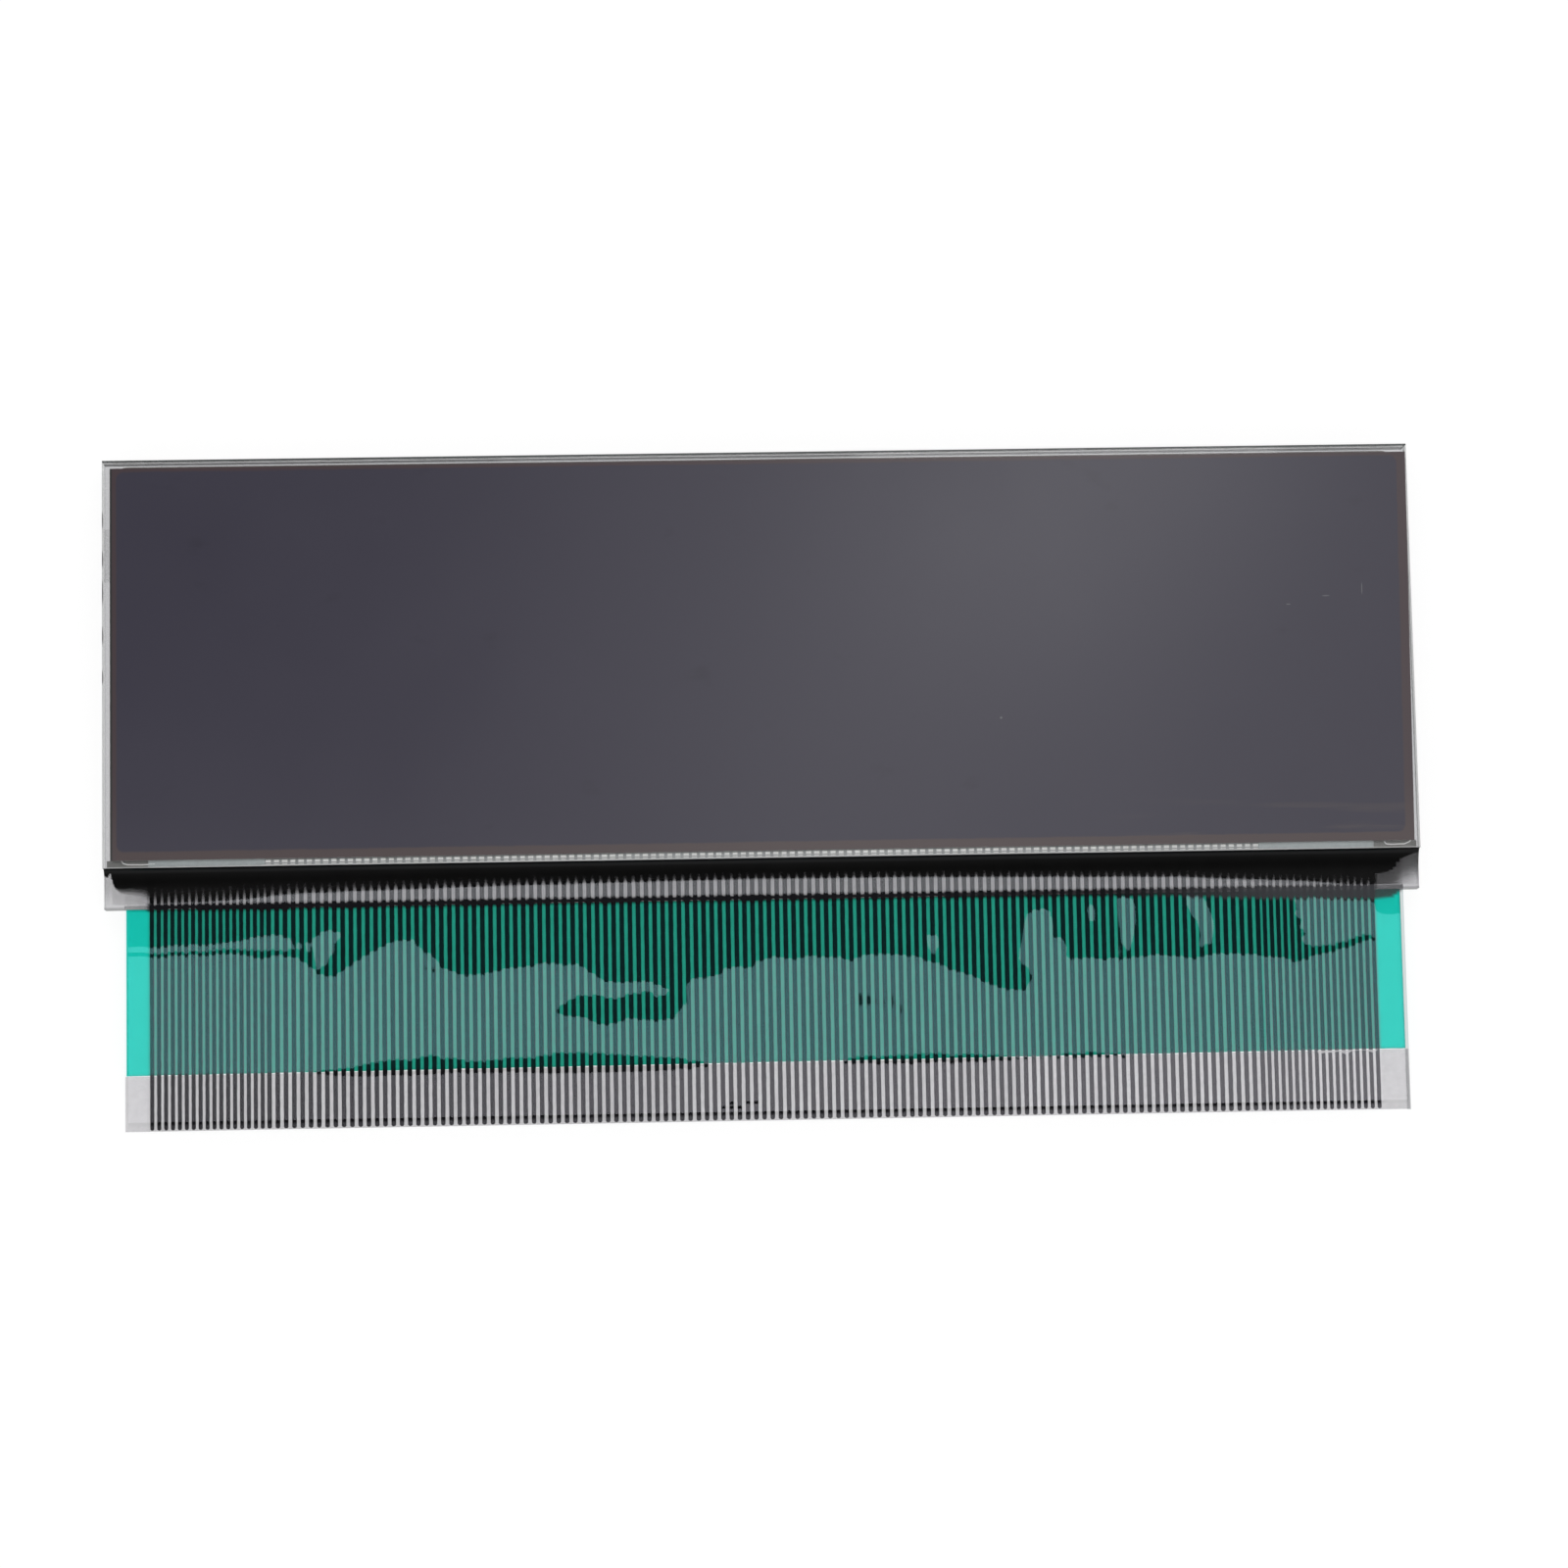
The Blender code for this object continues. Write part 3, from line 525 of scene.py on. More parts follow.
def polarizer_marks(look, ground):
    """Faint smudges, the streaks at the lower right and a few light specks and scratches."""
    smudge = look.fade(look.mottle(210.0, detail=4.0, stretch=(1.0, 1.6, 1.0)), 0.66, 0.78)
    ground = look.mix(look.times(smudge, 0.3), ground, (0.042, 0.04, 0.054))
    low = look.fade(look.y, *(FRONT_GLASS_EDGE + height for height in STREAKS_HEIGHT_FADE))
    right = look.fade(look.x, *STREAKS_RIGHT_FADE)
    streaks = look.fade(look.mottle(1500.0, stretch=(0.05, 1.0, 1.0)), 0.5, 0.7)
    ground = look.mix(look.times(low, right, streaks, 0.7), ground, (0.105, 0.088, 0.092))
    for mark in PANEL_MARKS:
        light = look.spot(look.x, look.y, *(part * MM for part in mark))
        ground = look.mix(look.times(light, 0.6), ground, (0.2, 0.2, 0.21))
    return ground


def glass_pane(look, box, tints, is_front):
    """The faces of a pane: clear with faint streaks, mirroring a little, with painted shade lines along
    its edges and a painted highlight along the front pane's lower edge.
    """
    x, y = look.x, look.y
    on_top = look.math("GREATER_THAN", look.z, box[1].z - 0.1 * MM)
    streak = look.mottle(400.0, stretch=(1.0, 1.0, 0.2))
    tint = look.mix(look.fade(y, FRONT_GLASS_EDGE, FRONT_GLASS_EDGE + 0.2 * MM), *tints)
    if not is_front:
        # Painted shade in the rear pane's tint, lighter at the ledge's left end
        tint = look.mix(look.fade(x, *LIGHTER_SHADE_LEDGE_END), tint, (0.63, 0.625, 0.64))
    shade = look.mix(streak, look.mix(0.04, tint, (0.0, 0.0, 0.0)), tint)
    see_through = look.clear(look.mix(on_top, (1.0, 1.0, 1.0), shade))
    share = look.times(look.gloss_share(0.04), on_top)
    pane = look.mix_shader(share, see_through, look.mirror((1.0, 1.0, 1.0), 0.03))
    if is_front:
        # A painted highlight along the front pane's lower edge, weaker beyond the marks, for a ground
        # chamfer that catches the light
        edge_highlight = look.fade(y, *(box[0].y + inset for inset in EDGE_HIGHLIGHT_FADE))
        beyond_marks = look.fade(look.size(x), *MARKS_END_FADE)
        painted_light = look.times(edge_highlight, on_top, look.math("MULTIPLY_ADD", beyond_marks, -0.2, 0.62))
        pane = look.mix_shader(painted_light, pane, look.plastic((0.85, 0.85, 0.85), 0.4))
        # Painted shade: dark lines along the front pane's far and right edges
        far_shade_line = look.times(look.fade(y, *(box[1].y - inset for inset in EDGE_SHADE_FADE)), 0.8)
        off_side = look.size(look.minus(x, box[1].x - SIDE_SHADE_INSET))
        side_shade_line = look.times(look.fade(off_side, *SIDE_SHADE_FADE), 0.6)
        edge_shade_lines = look.larger(far_shade_line, side_shade_line)
    else:
        # Painted shade: a dark line along the rear pane's lower edge, beside the ribbon only
        outside = look.fade(look.size(x), *RIBBON_SIDE_FADE)
        edge_shade_lines = look.times(look.fade(y, *(box[0].y + inset for inset in EDGE_SHADE_FADE)), outside, 0.35)
    return look.mix_shader(look.times(edge_shade_lines, on_top), pane, look.plastic((0.08, 0.09, 0.09), 0.3))


def glass_wall(look, box, wall_share, far_wall, is_front):
    """The broken walls of a pane: partly see-through, chipped and dark in places, with painted shade
    on the wall towards the tail.
    """
    x, y, z = look.x, look.y, look.z
    chip = look.fade(look.mottle(1300.0, stretch=(1.0, 1.0, 0.6)), 0.4, 0.62)
    wall = look.mix(chip, (0.78, 0.785, 0.79), (0.93, 0.935, 0.94))
    chipped = 0.0
    for middle, half in LEFT_CHIPS:
        hollow = look.spot(y, z, middle * MM, box[1].z, (half + 0.1) * MM, CHIP_DEPTH)
        chipped = look.larger(hollow, chipped)
    chipped = look.times(chipped, look.math("LESS_THAN", x, box[0].x + WALL_DEPTH), 0.95)
    wall = look.mix(chipped, wall, (0.02, 0.022, 0.022))
    # The wall towards the tail is near black and hides what is behind it: painted shade
    to_tail = look.math("LESS_THAN", y, box[0].y + WALL_DEPTH)
    wall = look.mix(to_tail, wall, (0.06, 0.065, 0.065))
    to_far_edge = look.math("GREATER_THAN", y, box[1].y - WALL_DEPTH)
    wall = look.mix(to_far_edge, wall, look.mix(chip, tuple(0.9 * part for part in far_wall), far_wall))
    broken = look.plastic(wall, 0.3, look.bump(chip, CHIP_RELIEF), IOR=1.5)
    hidden = look.larger(to_tail, look.times(to_far_edge, 0.92))
    if is_front:
        hidden = look.larger(hidden, chipped)
    return look.mix_shader(look.larger(wall_share, hidden), look.clear((0.95, 0.955, 0.955)), broken)


def glass_finish(name, box, tints, wall_share, far_wall, is_front):
    """Float glass as a thin pane.

    tints are its tints on the ledge and beyond it; on the rear pane they are dark, painted shade of the
    floor seen through it. wall_share is how far its side walls hide what is behind them, and far_wall is
    the colour of the wall at the far edge.
    """
    look = Finish(name)
    normal = look.node("ShaderNodeNewGeometry").outputs["Normal"]
    on_face = look.math("GREATER_THAN", look.size(look.xyz(normal)[2]), 0.5)
    wall = glass_wall(look, box, wall_share, far_wall, is_front)
    return look.done(look.mix_shader(on_face, wall, glass_pane(look, box, tints, is_front)))


def plain_finish(name, dark, light, roughness, scale):
    """An opaque finish with fine mottling and a little relief."""
    look = Finish(name)
    mottle = look.mottle(scale, detail=4.0)
    relief = look.bump(mottle, MOTTLE_RELIEF)
    return look.done(look.plastic(look.mix(mottle, dark, light), roughness, relief))


def plug_finish():
    """Nearly clear cured resin."""
    look = Finish("plug resin")
    mottle = look.mottle(900.0)
    cured = look.plastic(look.mix(mottle, (0.5, 0.5, 0.49), (0.7, 0.7, 0.69)), 0.3)
    return look.done(look.mix_shader(0.06, look.clear((0.96, 0.96, 0.96)), cured))


def metal_finish(name, dark, light, roughness, lean=0.0):
    """A rough metallic print, whose shine can lean as if its surface rose by lean towards +Y."""
    look = Finish(name)
    colour = look.mix(look.mottle(3000.0), dark, light)
    return look.done(look.plastic(colour, roughness, look.bump(look.y, lean), Metallic=1.0))


def adhesive_finish(name, least, tint, clear_margin):
    """Hazy clear heat-seal adhesive; least is the least share of haze in it."""
    look = Finish(name)
    mottle = look.mottle(1800.0)
    haze = look.plastic(look.mix(mottle, (0.88, 0.87, 0.88), (0.94, 0.93, 0.94)), 0.5)
    share = look.math("MULTIPLY_ADD", mottle, 0.2, least)
    if clear_margin:
        inside = look.fade(look.minus(look.size(look.x), LAST_LINE), 0.5 * MM, 0.2 * MM)
        share = look.times(share, inside)
        tint = look.mix(inside, (0.99, 0.99, 0.99), tint)
    return look.done(look.mix_shader(share, look.clear(tint), haze))


def film_finish():
    """Clear polyester film: see-through and a faint mirror, with painted shade where it leaves the ledge
    and along its right rim.
    """
    look = Finish("polyester film")
    x, y = look.x, look.y
    tint = look.mix(look.mottle(300.0), (0.97, 0.975, 0.975), (0.99, 0.99, 0.99))
    # Painted shade: a grey rim at the film's right edge, off the ledge
    shaded_rim = look.fade(x, *(RIBBON[1].x - inset for inset in FILM_RIM_SHADE_FADE))
    off_ledge = look.fade(y, LEDGE_EDGE, LEDGE_EDGE - 0.1 * MM)
    tint = look.mix(look.times(shaded_rim, off_ledge), tint, (0.7, 0.71, 0.71))
    dull = 0.0
    for spot_x, spot_y in TAIL_SPOTS:
        dull = look.larger(look.spot(x, y, spot_x * MM, spot_y * MM, *TAIL_SPOT_HALVES), dull)
    share = look.times(look.gloss_share(FILM_MIRROR_SHARE), look.minus(1.0, dull))
    film = look.mix_shader(share, look.clear(tint), look.mirror(look.attribute("sheen", "Color"), 0.02))
    # Painted shade where the film leaves the ledge: near black, turning grey towards the right
    shade_colour = look.mix(look.fade(x, 24.0 * MM, 40.0 * MM), (0.004, 0.004, 0.006), (0.062, 0.063, 0.07))
    painted_shade = look.plastic(shade_colour, 0.6, Specular_IOR_Level=0.1)
    return look.done(look.mix_shader(look.attribute("painted_shade"), film, painted_shade))


def film_underside_finish():
    look = Finish("film underside")
    return look.done(look.clear(look.mix(look.mottle(300.0), (0.99, 0.99, 0.99), (1.0, 1.0, 1.0))))


def ink_finish():
    """Black conductive ink, tinged by the green coat where it lies on it."""
    look = Finish("conductive ink")
    mottle = look.mottle(2500.0, stretch=(1.0, 0.4, 1.0))
    bare = look.mix(mottle, (0.003, 0.003, 0.004), (0.008, 0.007, 0.009))
    tinged = look.mix(mottle, (0.0, 0.012, 0.013), (0.0005, 0.022, 0.023))
    on_green = look.times(
        look.fade(look.y, LEDGE_EDGE - 0.1 * MM, LEDGE_EDGE - 0.3 * MM),
        look.fade(look.y, COAT[0].y, COAT[0].y + 0.3 * MM),
    )
    return look.done(look.plastic(look.mix(on_green, bare, tinged), 0.6, Specular_IOR_Level=0.05))


def green_finish():
    """Turquoise insulating print, brighter in its margins, where no conductor shades it."""
    look = Finish("green insulating print")
    middle, half = (FIRST_LINE + LAST_LINE) / 2, (LAST_LINE - FIRST_LINE) / 2
    beyond = look.minus(look.size(look.minus(look.x, middle)), half)
    margin = look.fade(beyond, 0.0, 0.4 * MM)
    mottle = look.mottle(1200.0)
    inner = look.mix(mottle, (0.01, 0.51, 0.35), (0.018, 0.57, 0.4))
    outer = look.mix(mottle, (0.0, 0.81, 0.66), (0.001, 0.87, 0.71))
    return look.done(look.plastic(look.mix(margin, inner, outer), 0.5, Specular_IOR_Level=0.2))


def resin_finish():
    """Black resin: attribute cover is how far it hides what is under it, painted shadow included, and
    gloss how it shines.
    """
    look = Finish("black edge resin")
    mottle = look.mottle(900.0)
    colour = look.mix(mottle, (0.002, 0.002, 0.002), (0.0045, 0.0045, 0.0045))
    black = look.plastic(colour, 0.3, Specular_IOR_Level=0.06)
    body = look.mix_shader(look.attribute("cover"), look.clear((1.0, 1.0, 1.0)), black)
    share = look.times(look.gloss_share(FOOT_GLOSS_SHARE), look.attribute("gloss"))
    return look.done(look.mix_shader(share, body, look.mirror((0.92, 0.94, 1.0), 0.04)))


# Shapes


def along(points, x):
    """The height of a line through points given in millimetres, at each x."""
    places, heights = np.array(points).T
    return np.interp(x, places * MM, heights * MM)


def smooth(value):
    share = np.clip(value, 0.0, 1.0)
    return share * share * (3.0 - 2.0 * share)


def depth_inside(x, y, outline):
    """Distance into a closed outline, given in millimetres; below 0 outside it."""
    corners = np.array(outline) * MM
    nearest = np.full(x.shape, np.inf)
    inside = np.zeros(x.shape, dtype=bool)
    for (start_x, start_y), (end_x, end_y) in zip(corners, np.roll(corners, -1, axis=0)):
        run_x, run_y = end_x - start_x, end_y - start_y
        share = ((x - start_x) * run_x + (y - start_y) * run_y) / (run_x ** 2 + run_y ** 2)
        share = np.clip(share, 0.0, 1.0)
        off = np.hypot(x - start_x - share * run_x, y - start_y - share * run_y)
        nearest = np.minimum(nearest, off)
        spans = (start_y > y) != (end_y > y)
        slope = run_x / run_y if run_y else 0.0
        inside ^= spans & (x < start_x + (y - start_y) * slope)
    return np.where(inside, nearest, -nearest)


def oval_depth(x, y, middle_x, middle_y, half_x, half_y):
    """About the distance into an oval, given in millimetres; below 0 outside it."""
    level = 1.0 - np.hypot((x - middle_x * MM) / (half_x * MM), (y - middle_y * MM) / (half_y * MM))
    return level * min(half_x, half_y) * MM


def coat_low_edge(x):
    """The green coat's lower edge, which was printed a little out of square."""
    return np.interp(x, [COAT[0].x, COAT[1].x], [COAT[0].y, COAT[0].y + COAT_SLANT])


def film_columns():
    """x of the film's grid lines: four to each conductor pitch, and an even spread in the margins."""
    inner_share, gap_share, step = 0.3, 0.27, 0.3 * MM
    following = np.append(CENTRES[1:], LAST_LINE + SIDE_PITCH)
    xs = []
    for centre, width, next_centre in zip(CENTRES, WIDTHS, following):
        gap_middle = (centre + next_centre) / 2
        line, gap = inner_share * width, gap_share * width
        xs += [centre - line, centre + line, gap_middle - gap, gap_middle + gap]
    left = np.arange(RIBBON[0].x, FIRST_LINE - SIDE_PITCH / 2, step)
    right = RIBBON[1].x - np.arange(0.0, RIBBON[1].x - xs[-1] - step / 2, step)[::-1]
    return np.concatenate([left, xs, right])


def film_rows():
    """y of the film's grid lines, closest where it bends most."""
    rows = []
    start = RIBBON_START
    for end, steps in FILM_ROWS:
        rows.append(np.linspace(start, end, steps, endpoint=False))
        start = end
    return np.concatenate([*rows, [RIBBON_END]])


def on_conductor(x):
    """1 on a conductor and 0 in a gap, with the conductor's number."""
    nearest = np.abs(x[..., None] - CENTRES).argmin(-1)
    off = np.abs(x - CENTRES[nearest])
    return (off < WIDTHS[nearest] / 2).astype(float), nearest


def conductor_lag(x):
    """How much lower each edge of a reflection lies on a conductor, and its spread."""
    inked, nearest = on_conductor(x)
    spread = np.random.default_rng(7).uniform(-1.0, 1.0, len(CONDUCTORS))[nearest]
    return CONDUCTOR_LAG * inked + CONDUCTOR_LAG_SPREAD * spread


def turn_distance(x, y):
    """How far inside the softbox's part of the film a place is: above 0 it mirrors the softbox."""
    lag = conductor_lag(x)
    level = y + lag
    free = along(TURN_LINE, x) - level
    for outline in LIGHT_DIMPLES:
        free = np.maximum(free, depth_inside(x, level, outline))
    for outline in DARK_DIMPLES:
        free = np.minimum(free, -depth_inside(x, level, outline))
    inked = on_conductor(x)[0] > 0.5
    for mark in DARK_MARKS:
        free = np.where(inked, np.minimum(free, -oval_depth(x, y, *mark)), free)
    return np.where(y > LEDGE_EDGE, -1.0, free)


def film_rise():
    """Grid of the film with its rise above level, from its slope along y."""
    xs, ys = film_columns(), film_rows()
    x, y = np.meshgrid(xs, ys, indexing="ij")
    turn = TURN_RATE * (y - LEVEL_LINE)
    wave = WAVE_SLOPE * np.tanh(turn_distance(x, y) / WAVE_SOFTNESS)
    slope = (turn + wave) * smooth((y - TAIL_CALM_Y) / TAIL_CALM_RUN)
    between = (slope[:, 1:] + slope[:, :-1]) / 2
    rise = np.cumsum(between * np.diff(y, axis=1), axis=1)
    rise = np.concatenate([np.zeros((len(xs), 1)), rise], axis=1)
    at_ledge = rise[:, np.searchsorted(-ys, -LEDGE_EDGE)][:, None]
    return x, y, rise - at_ledge


def every(count, step):
    """Each step-th number below count, and the last one."""
    return np.unique([*range(0, count, step), count - 1])


def slab(name, x, y, top, bottom, materials, under_step=(1, 1)):
    """A closed piece between two heights over a grid of places; its top takes the first material.

    The underside may be coarser: it keeps only each under_step-th column and row.
    """
    columns, rows = x.shape
    index = np.arange(columns * rows).reshape(columns, rows)
    kept = np.ix_(every(columns, under_step[0]), every(rows, under_step[1]))
    under_index = np.arange(index[kept].size).reshape(index[kept].shape) + index.size
    over = np.stack([x, y, top], -1).reshape(-1, 3)
    under = np.stack([x[kept], y[kept], bottom[kept]], -1).reshape(-1, 3)
    top_quads = quads_of(index)
    under_quads = quads_of(under_index)[:, ::-1]
    rim = [*index[:, 0], *index[-1, 1:], *index[-2::-1, -1], *index[0, -2:0:-1]]
    below = dict(zip(index[kept].ravel().tolist(), under_index.ravel().tolist()))
    posts = [place for place, number in enumerate(rim) if int(number) in below]
    walls = []
    for start, end in zip(posts, [*posts[1:], posts[0] + len(rim)]):
        upper = [int(rim[place % len(rim)]) for place in range(start, end + 1)]
        walls.append([*upper, below[upper[-1]], below[upper[0]]])
    mesh = bpy.data.meshes.new(name)
    faces = [*top_quads.tolist(), *under_quads.tolist(), *walls]
    mesh.from_pydata(np.concatenate([over, under]).tolist(), [], faces)
    for material in materials:
        mesh.materials.append(material)
    slots = np.zeros(len(faces), dtype=np.int32)
    slots[len(top_quads):] = len(materials) - 1
    mesh.polygons.foreach_set("material_index", slots)
    flat_from = len(top_quads) + len(under_quads)
    mesh.polygons.foreach_set("use_smooth", np.arange(len(faces)) < flat_from)
    return place_piece(name, mesh)


def quads_of(index):
    return np.stack([index[:-1, :-1], index[:-1, 1:], index[1:, 1:], index[1:, :-1]], -1).reshape(-1, 4)


def place_piece(name, mesh):
    piece = bpy.data.objects.new(name, mesh)
    bpy.context.scene.collection.objects.link(piece)
    return piece


def paint_layer(piece, name, values):
    """Stores a number for each point of a slab's top, and 0 for the points under it."""
    layer = piece.data.attributes.new(name, "FLOAT", "POINT")
    full = np.zeros(len(piece.data.vertices), dtype=np.float32)
    full[:values.size] = values.reshape(-1)
    layer.data.foreach_set("value", full)


def finish_piece(piece, slot, *replaced):
    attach(piece, BODY)
    if replaced:
        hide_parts(*replaced)


def film_sheen(x, y):
    """The film's mirror colour at each place."""
    inked = on_conductor(x)[0][..., None]
    on_print = inked * np.array(SHEEN_ON_INK) + (1.0 - inked) * np.array(SHEEN_ON_GREEN)
    margin = (x < FIRST_LINE - SIDE_PITCH / 2) | (x > LAST_LINE + SIDE_PITCH / 2)
    colour = np.where(margin[..., None], np.array(SHEEN_ON_MARGIN), on_print)
    over_green = smooth((LEDGE_EDGE - y) / (0.15 * MM)) * smooth((y - coat_low_edge(x)) / (0.1 * MM))
    places, factors = np.array(BARE_SHEEN_RAMP).T
    factor = np.where(margin, BARE_MARGIN_FACTOR, np.interp(x, places * MM, factors))
    bare = factor[..., None] * np.array(SHEEN_BARE)
    return bare + (colour - bare) * over_green[..., None]


def film_painted_shade(x, y):
    """How far the painted shade where the film leaves the ledge hides what is under the film."""
    lag = conductor_lag(x)
    low = along(SHADE_BAND_EDGE, x) - lag * SHADE_BAND_LAG_SHARE
    start = SHADE_BAND_START + np.maximum(lag, 0.0)
    to_right = smooth(x / SHADE_BAND_RIGHT_RUN)
    softness = SHADE_BAND_SOFTNESS * (1.0 + to_right)
    shade_share = smooth((y - low) / softness + 0.5) * smooth((start - y) / SHADE_BAND_SOFTNESS + 0.5)
    off_margin = smooth((x - FIRST_LINE) / SIDE_PITCH + 1.0)
    shade_share *= SHADE_BAND_LEFT_MARGIN + (1.0 - SHADE_BAND_LEFT_MARGIN) * off_margin
    past_last = smooth((x - LAST_LINE) / SIDE_PITCH)
    return shade_share * (1.0 - SHADE_BAND_LOSS_RIGHT * to_right) * (1.0 - SHADE_BAND_LOSS_PAST_LAST * past_last)


def make_film(grid):
    x, y, rise = grid
    top = FILM_TOP + rise
    finishes = [film_finish(), film_underside_finish()]
    piece = slab("ribbon_film", x, y, top, top - FILM_THICKNESS, finishes, under_step=(4, 6))
    # Painted shade where the film leaves the ledge, stored for each point
    paint_layer(piece, "painted_shade", film_painted_shade(x, y))
    sheen = piece.data.attributes.new("sheen", "FLOAT_COLOR", "POINT")
    colours = np.ones((len(piece.data.vertices), 4), dtype=np.float32)
    colours[:x.size, :3] = film_sheen(x, y).reshape(-1, 3)
    sheen.data.foreach_set("color", colours.reshape(-1))
    return piece


def make_coat(grid):
    """The green print under the conductors, from the ledge to the bare tail."""
    x, y, rise = grid
    across = slice(0, None, 2)
    xs = x[across, 0]
    first = LEDGE_EDGE - COAT_FROM_LEDGE
    slow, quick = (np.sin(xs * wave) for wave in COAT_WANDER_WAVES)
    low = coat_low_edge(xs) + COAT_WANDER * slow * quick
    rows = first + (low - first)[:, None] * np.linspace(0.0, 1.0, COAT_ROWS)
    columns = np.clip(xs, COAT[0].x + COAT_INSET_LEFT, COAT[1].x - COAT_INSET_RIGHT)
    columns = np.broadcast_to(columns[:, None], rows.shape)
    lift = np.stack([np.interp(-row, -y[0], line) for row, line in zip(rows, rise[across])])
    top = COAT_TOP + lift
    return slab("green_coat", columns, rows, top, top - COAT_THICKNESS, [green_finish()], under_step=(4, 5))


# Geometry Nodes


class Recipe(Tree):
    """A geometry node tree with named inputs."""

    def __init__(self, name):
        super().__init__(bpy.data.node_groups.new(name, "GeometryNodeTree"))
        self.tree.interface.new_socket("Geometry", in_out="OUTPUT", socket_type="NodeSocketGeometry")
        self.inputs = {}
        self.source = self.tree.nodes.new("NodeGroupInput")
        self.sink = self.tree.nodes.new("NodeGroupOutput")

    def input(self, name, kind):
        socket = self.tree.interface.new_socket(name, in_out="INPUT", socket_type="NodeSocket" + kind)
        self.inputs[name] = socket.identifier
        return self.source.outputs[name]

    def numbers(self, *names):
        return [self.input(name, "Float") for name in names]

    def here(self):
        return self.xyz(self.node("GeometryNodeInputPosition").outputs[0])

    def point(self, x, y, z):
        return self.node("ShaderNodeCombineXYZ", {0: x, 1: y, 2: z}).outputs[0]

    def box(self, rows):
        sizes = {"Size": (1.0, 1.0, 1.0), "Vertices X": 2, "Vertices Y": rows, "Vertices Z": 2}
        return self.node("GeometryNodeMeshCube", sizes).outputs["Mesh"]

    def store(self, geometry, name, value):
        inputs = {"Geometry": geometry, "Name": name, "Value": value}
        made = self.node("GeometryNodeStoreNamedAttribute", inputs, data_type="FLOAT", domain="POINT")
        return made.outputs[0]

    def read(self, name):
        made = self.node("GeometryNodeInputNamedAttribute", {"Name": name}, data_type="FLOAT")
        return made.outputs["Attribute"]

    def copies(self, points, shape):
        placed = self.node("GeometryNodeInstanceOnPoints", {"Points": points, "Instance": shape})
        return self.node("GeometryNodeRealizeInstances", {"Geometry": placed.outputs[0]}).outputs[0]

    def move_to(self, geometry, place):
        return self.node("GeometryNodeSetPosition", {"Geometry": geometry, "Position": place}).outputs[0]

    def finish(self, geometry, material):
        painted = self.node("GeometryNodeSetMaterial", {"Geometry": geometry, "Material": material})
        self.tree.links.new(painted.outputs[0], self.sink.inputs[0])

    def grow(self, piece, values):
        """Runs the tree on the piece and leaves the result as its plain mesh."""
        modifier = piece.modifiers.new(self.tree.name, "NODES")
        modifier.node_group = self.tree
        for name, value in values.items():
            modifier[self.inputs[name]] = value
        graph = bpy.context.evaluated_depsgraph_get()
        mesh = bpy.data.meshes.new_from_object(piece.evaluated_get(graph))
        piece.modifiers.clear()
        piece.data = mesh
        return piece


def carrier(name, places, **numbers):
    """Loose points that a recipe grows its copies on, with a named number for each."""
    mesh = bpy.data.meshes.new(name)
    mesh.from_pydata(places, [], [])
    for number, values in numbers.items():
        mesh.attributes.new(number, "FLOAT", "POINT").data.foreach_set("value", values)
    return place_piece(name, mesh)


def conductor_recipe():
    """A strip for every carrier point, laid along the underside of the film."""
    recipe = Recipe("printed conductors")
    points = recipe.input("Carrier", "Geometry")
    film = recipe.input("Film", "Object")
    start, end, thickness = recipe.numbers("Start", "End", "Thickness")
    clearance, waviness, rounding = recipe.numbers("Clearance", "Waviness", "Rounding")
    material = recipe.input("Material", "Material")
    local = recipe.here()
    strip = recipe.store(recipe.box(CONDUCTOR_ROWS), "across", local[0])
    strip = recipe.store(strip, "run", recipe.add(local[1], 0.5))
    strip = recipe.store(strip, "depth", recipe.minus(0.5, local[2]))
    points = recipe.store(points, "middle", recipe.here()[0])
    strips = recipe.copies(points, strip)
    run = recipe.math("POWER", recipe.read("run"), CONDUCTOR_ROW_GATHERING)
    reach = recipe.times(run, recipe.minus(start, end))
    y = recipe.add(end, reach)
    short = recipe.minus(1.0, recipe.math("MINIMUM", recipe.math("DIVIDE", reach, rounding), 1.0))
    swell = recipe.math("SQRT", recipe.minus(1.0, recipe.math("POWER", short, 2.0)))
    width = recipe.times(recipe.read("width"), recipe.larger(swell, CONDUCTOR_NARROWEST))
    half = recipe.times(recipe.read("across"), width)
    side = recipe.times(recipe.read("across"), SIDE_GRAIN)
    edge = recipe.math("MULTIPLY_ADD", recipe.read("middle"), GRAIN_APART, side)
    grain = recipe.noise(recipe.point(edge, recipe.times(y, LENGTH_GRAIN), 0.0), 1.0, detail=2.0)
    wander = recipe.times(recipe.minus(grain, 0.5), waviness)
    x = recipe.add(recipe.add(recipe.read("middle"), half), wander)
    target = recipe.node("GeometryNodeObjectInfo", {"Object": film}, transform_space="RELATIVE")
    ray = {
        "Target Geometry": target.outputs["Geometry"],
        "Source Position": recipe.point(x, y, 0.0),
        "Ray Direction": (0.0, 0.0, 1.0),
        "Ray Length": 0.01,
    }
    roof = recipe.xyz(recipe.node("GeometryNodeRaycast", ray).outputs["Hit Position"])[2]
    drop = recipe.math("MULTIPLY_ADD", recipe.read("depth"), thickness, clearance)
    laid = recipe.move_to(strips, recipe.point(x, y, recipe.minus(roof, drop)))
    recipe.finish(laid, material)
    return recipe


def make_conductors(film):
    piece = carrier("printed_conductors", [(centre, 0.0, 0.0) for centre in CENTRES], width=WIDTHS)
    return conductor_recipe().grow(
        piece,
        {
            "Film": film,
            "Start": RIBBON_START - CONDUCTOR_END_FROM_EDGE,
            "End": RIBBON_END + CONDUCTOR_END_FROM_EDGE,
            "Thickness": CONDUCTOR_THICKNESS,
            "Clearance": CONDUCTOR_CLEARANCE,
            "Waviness": CONDUCTOR_WAVINESS,
            "Rounding": CONDUCTOR_ROUNDING,
            "Material": ink_finish(),
        },
    )


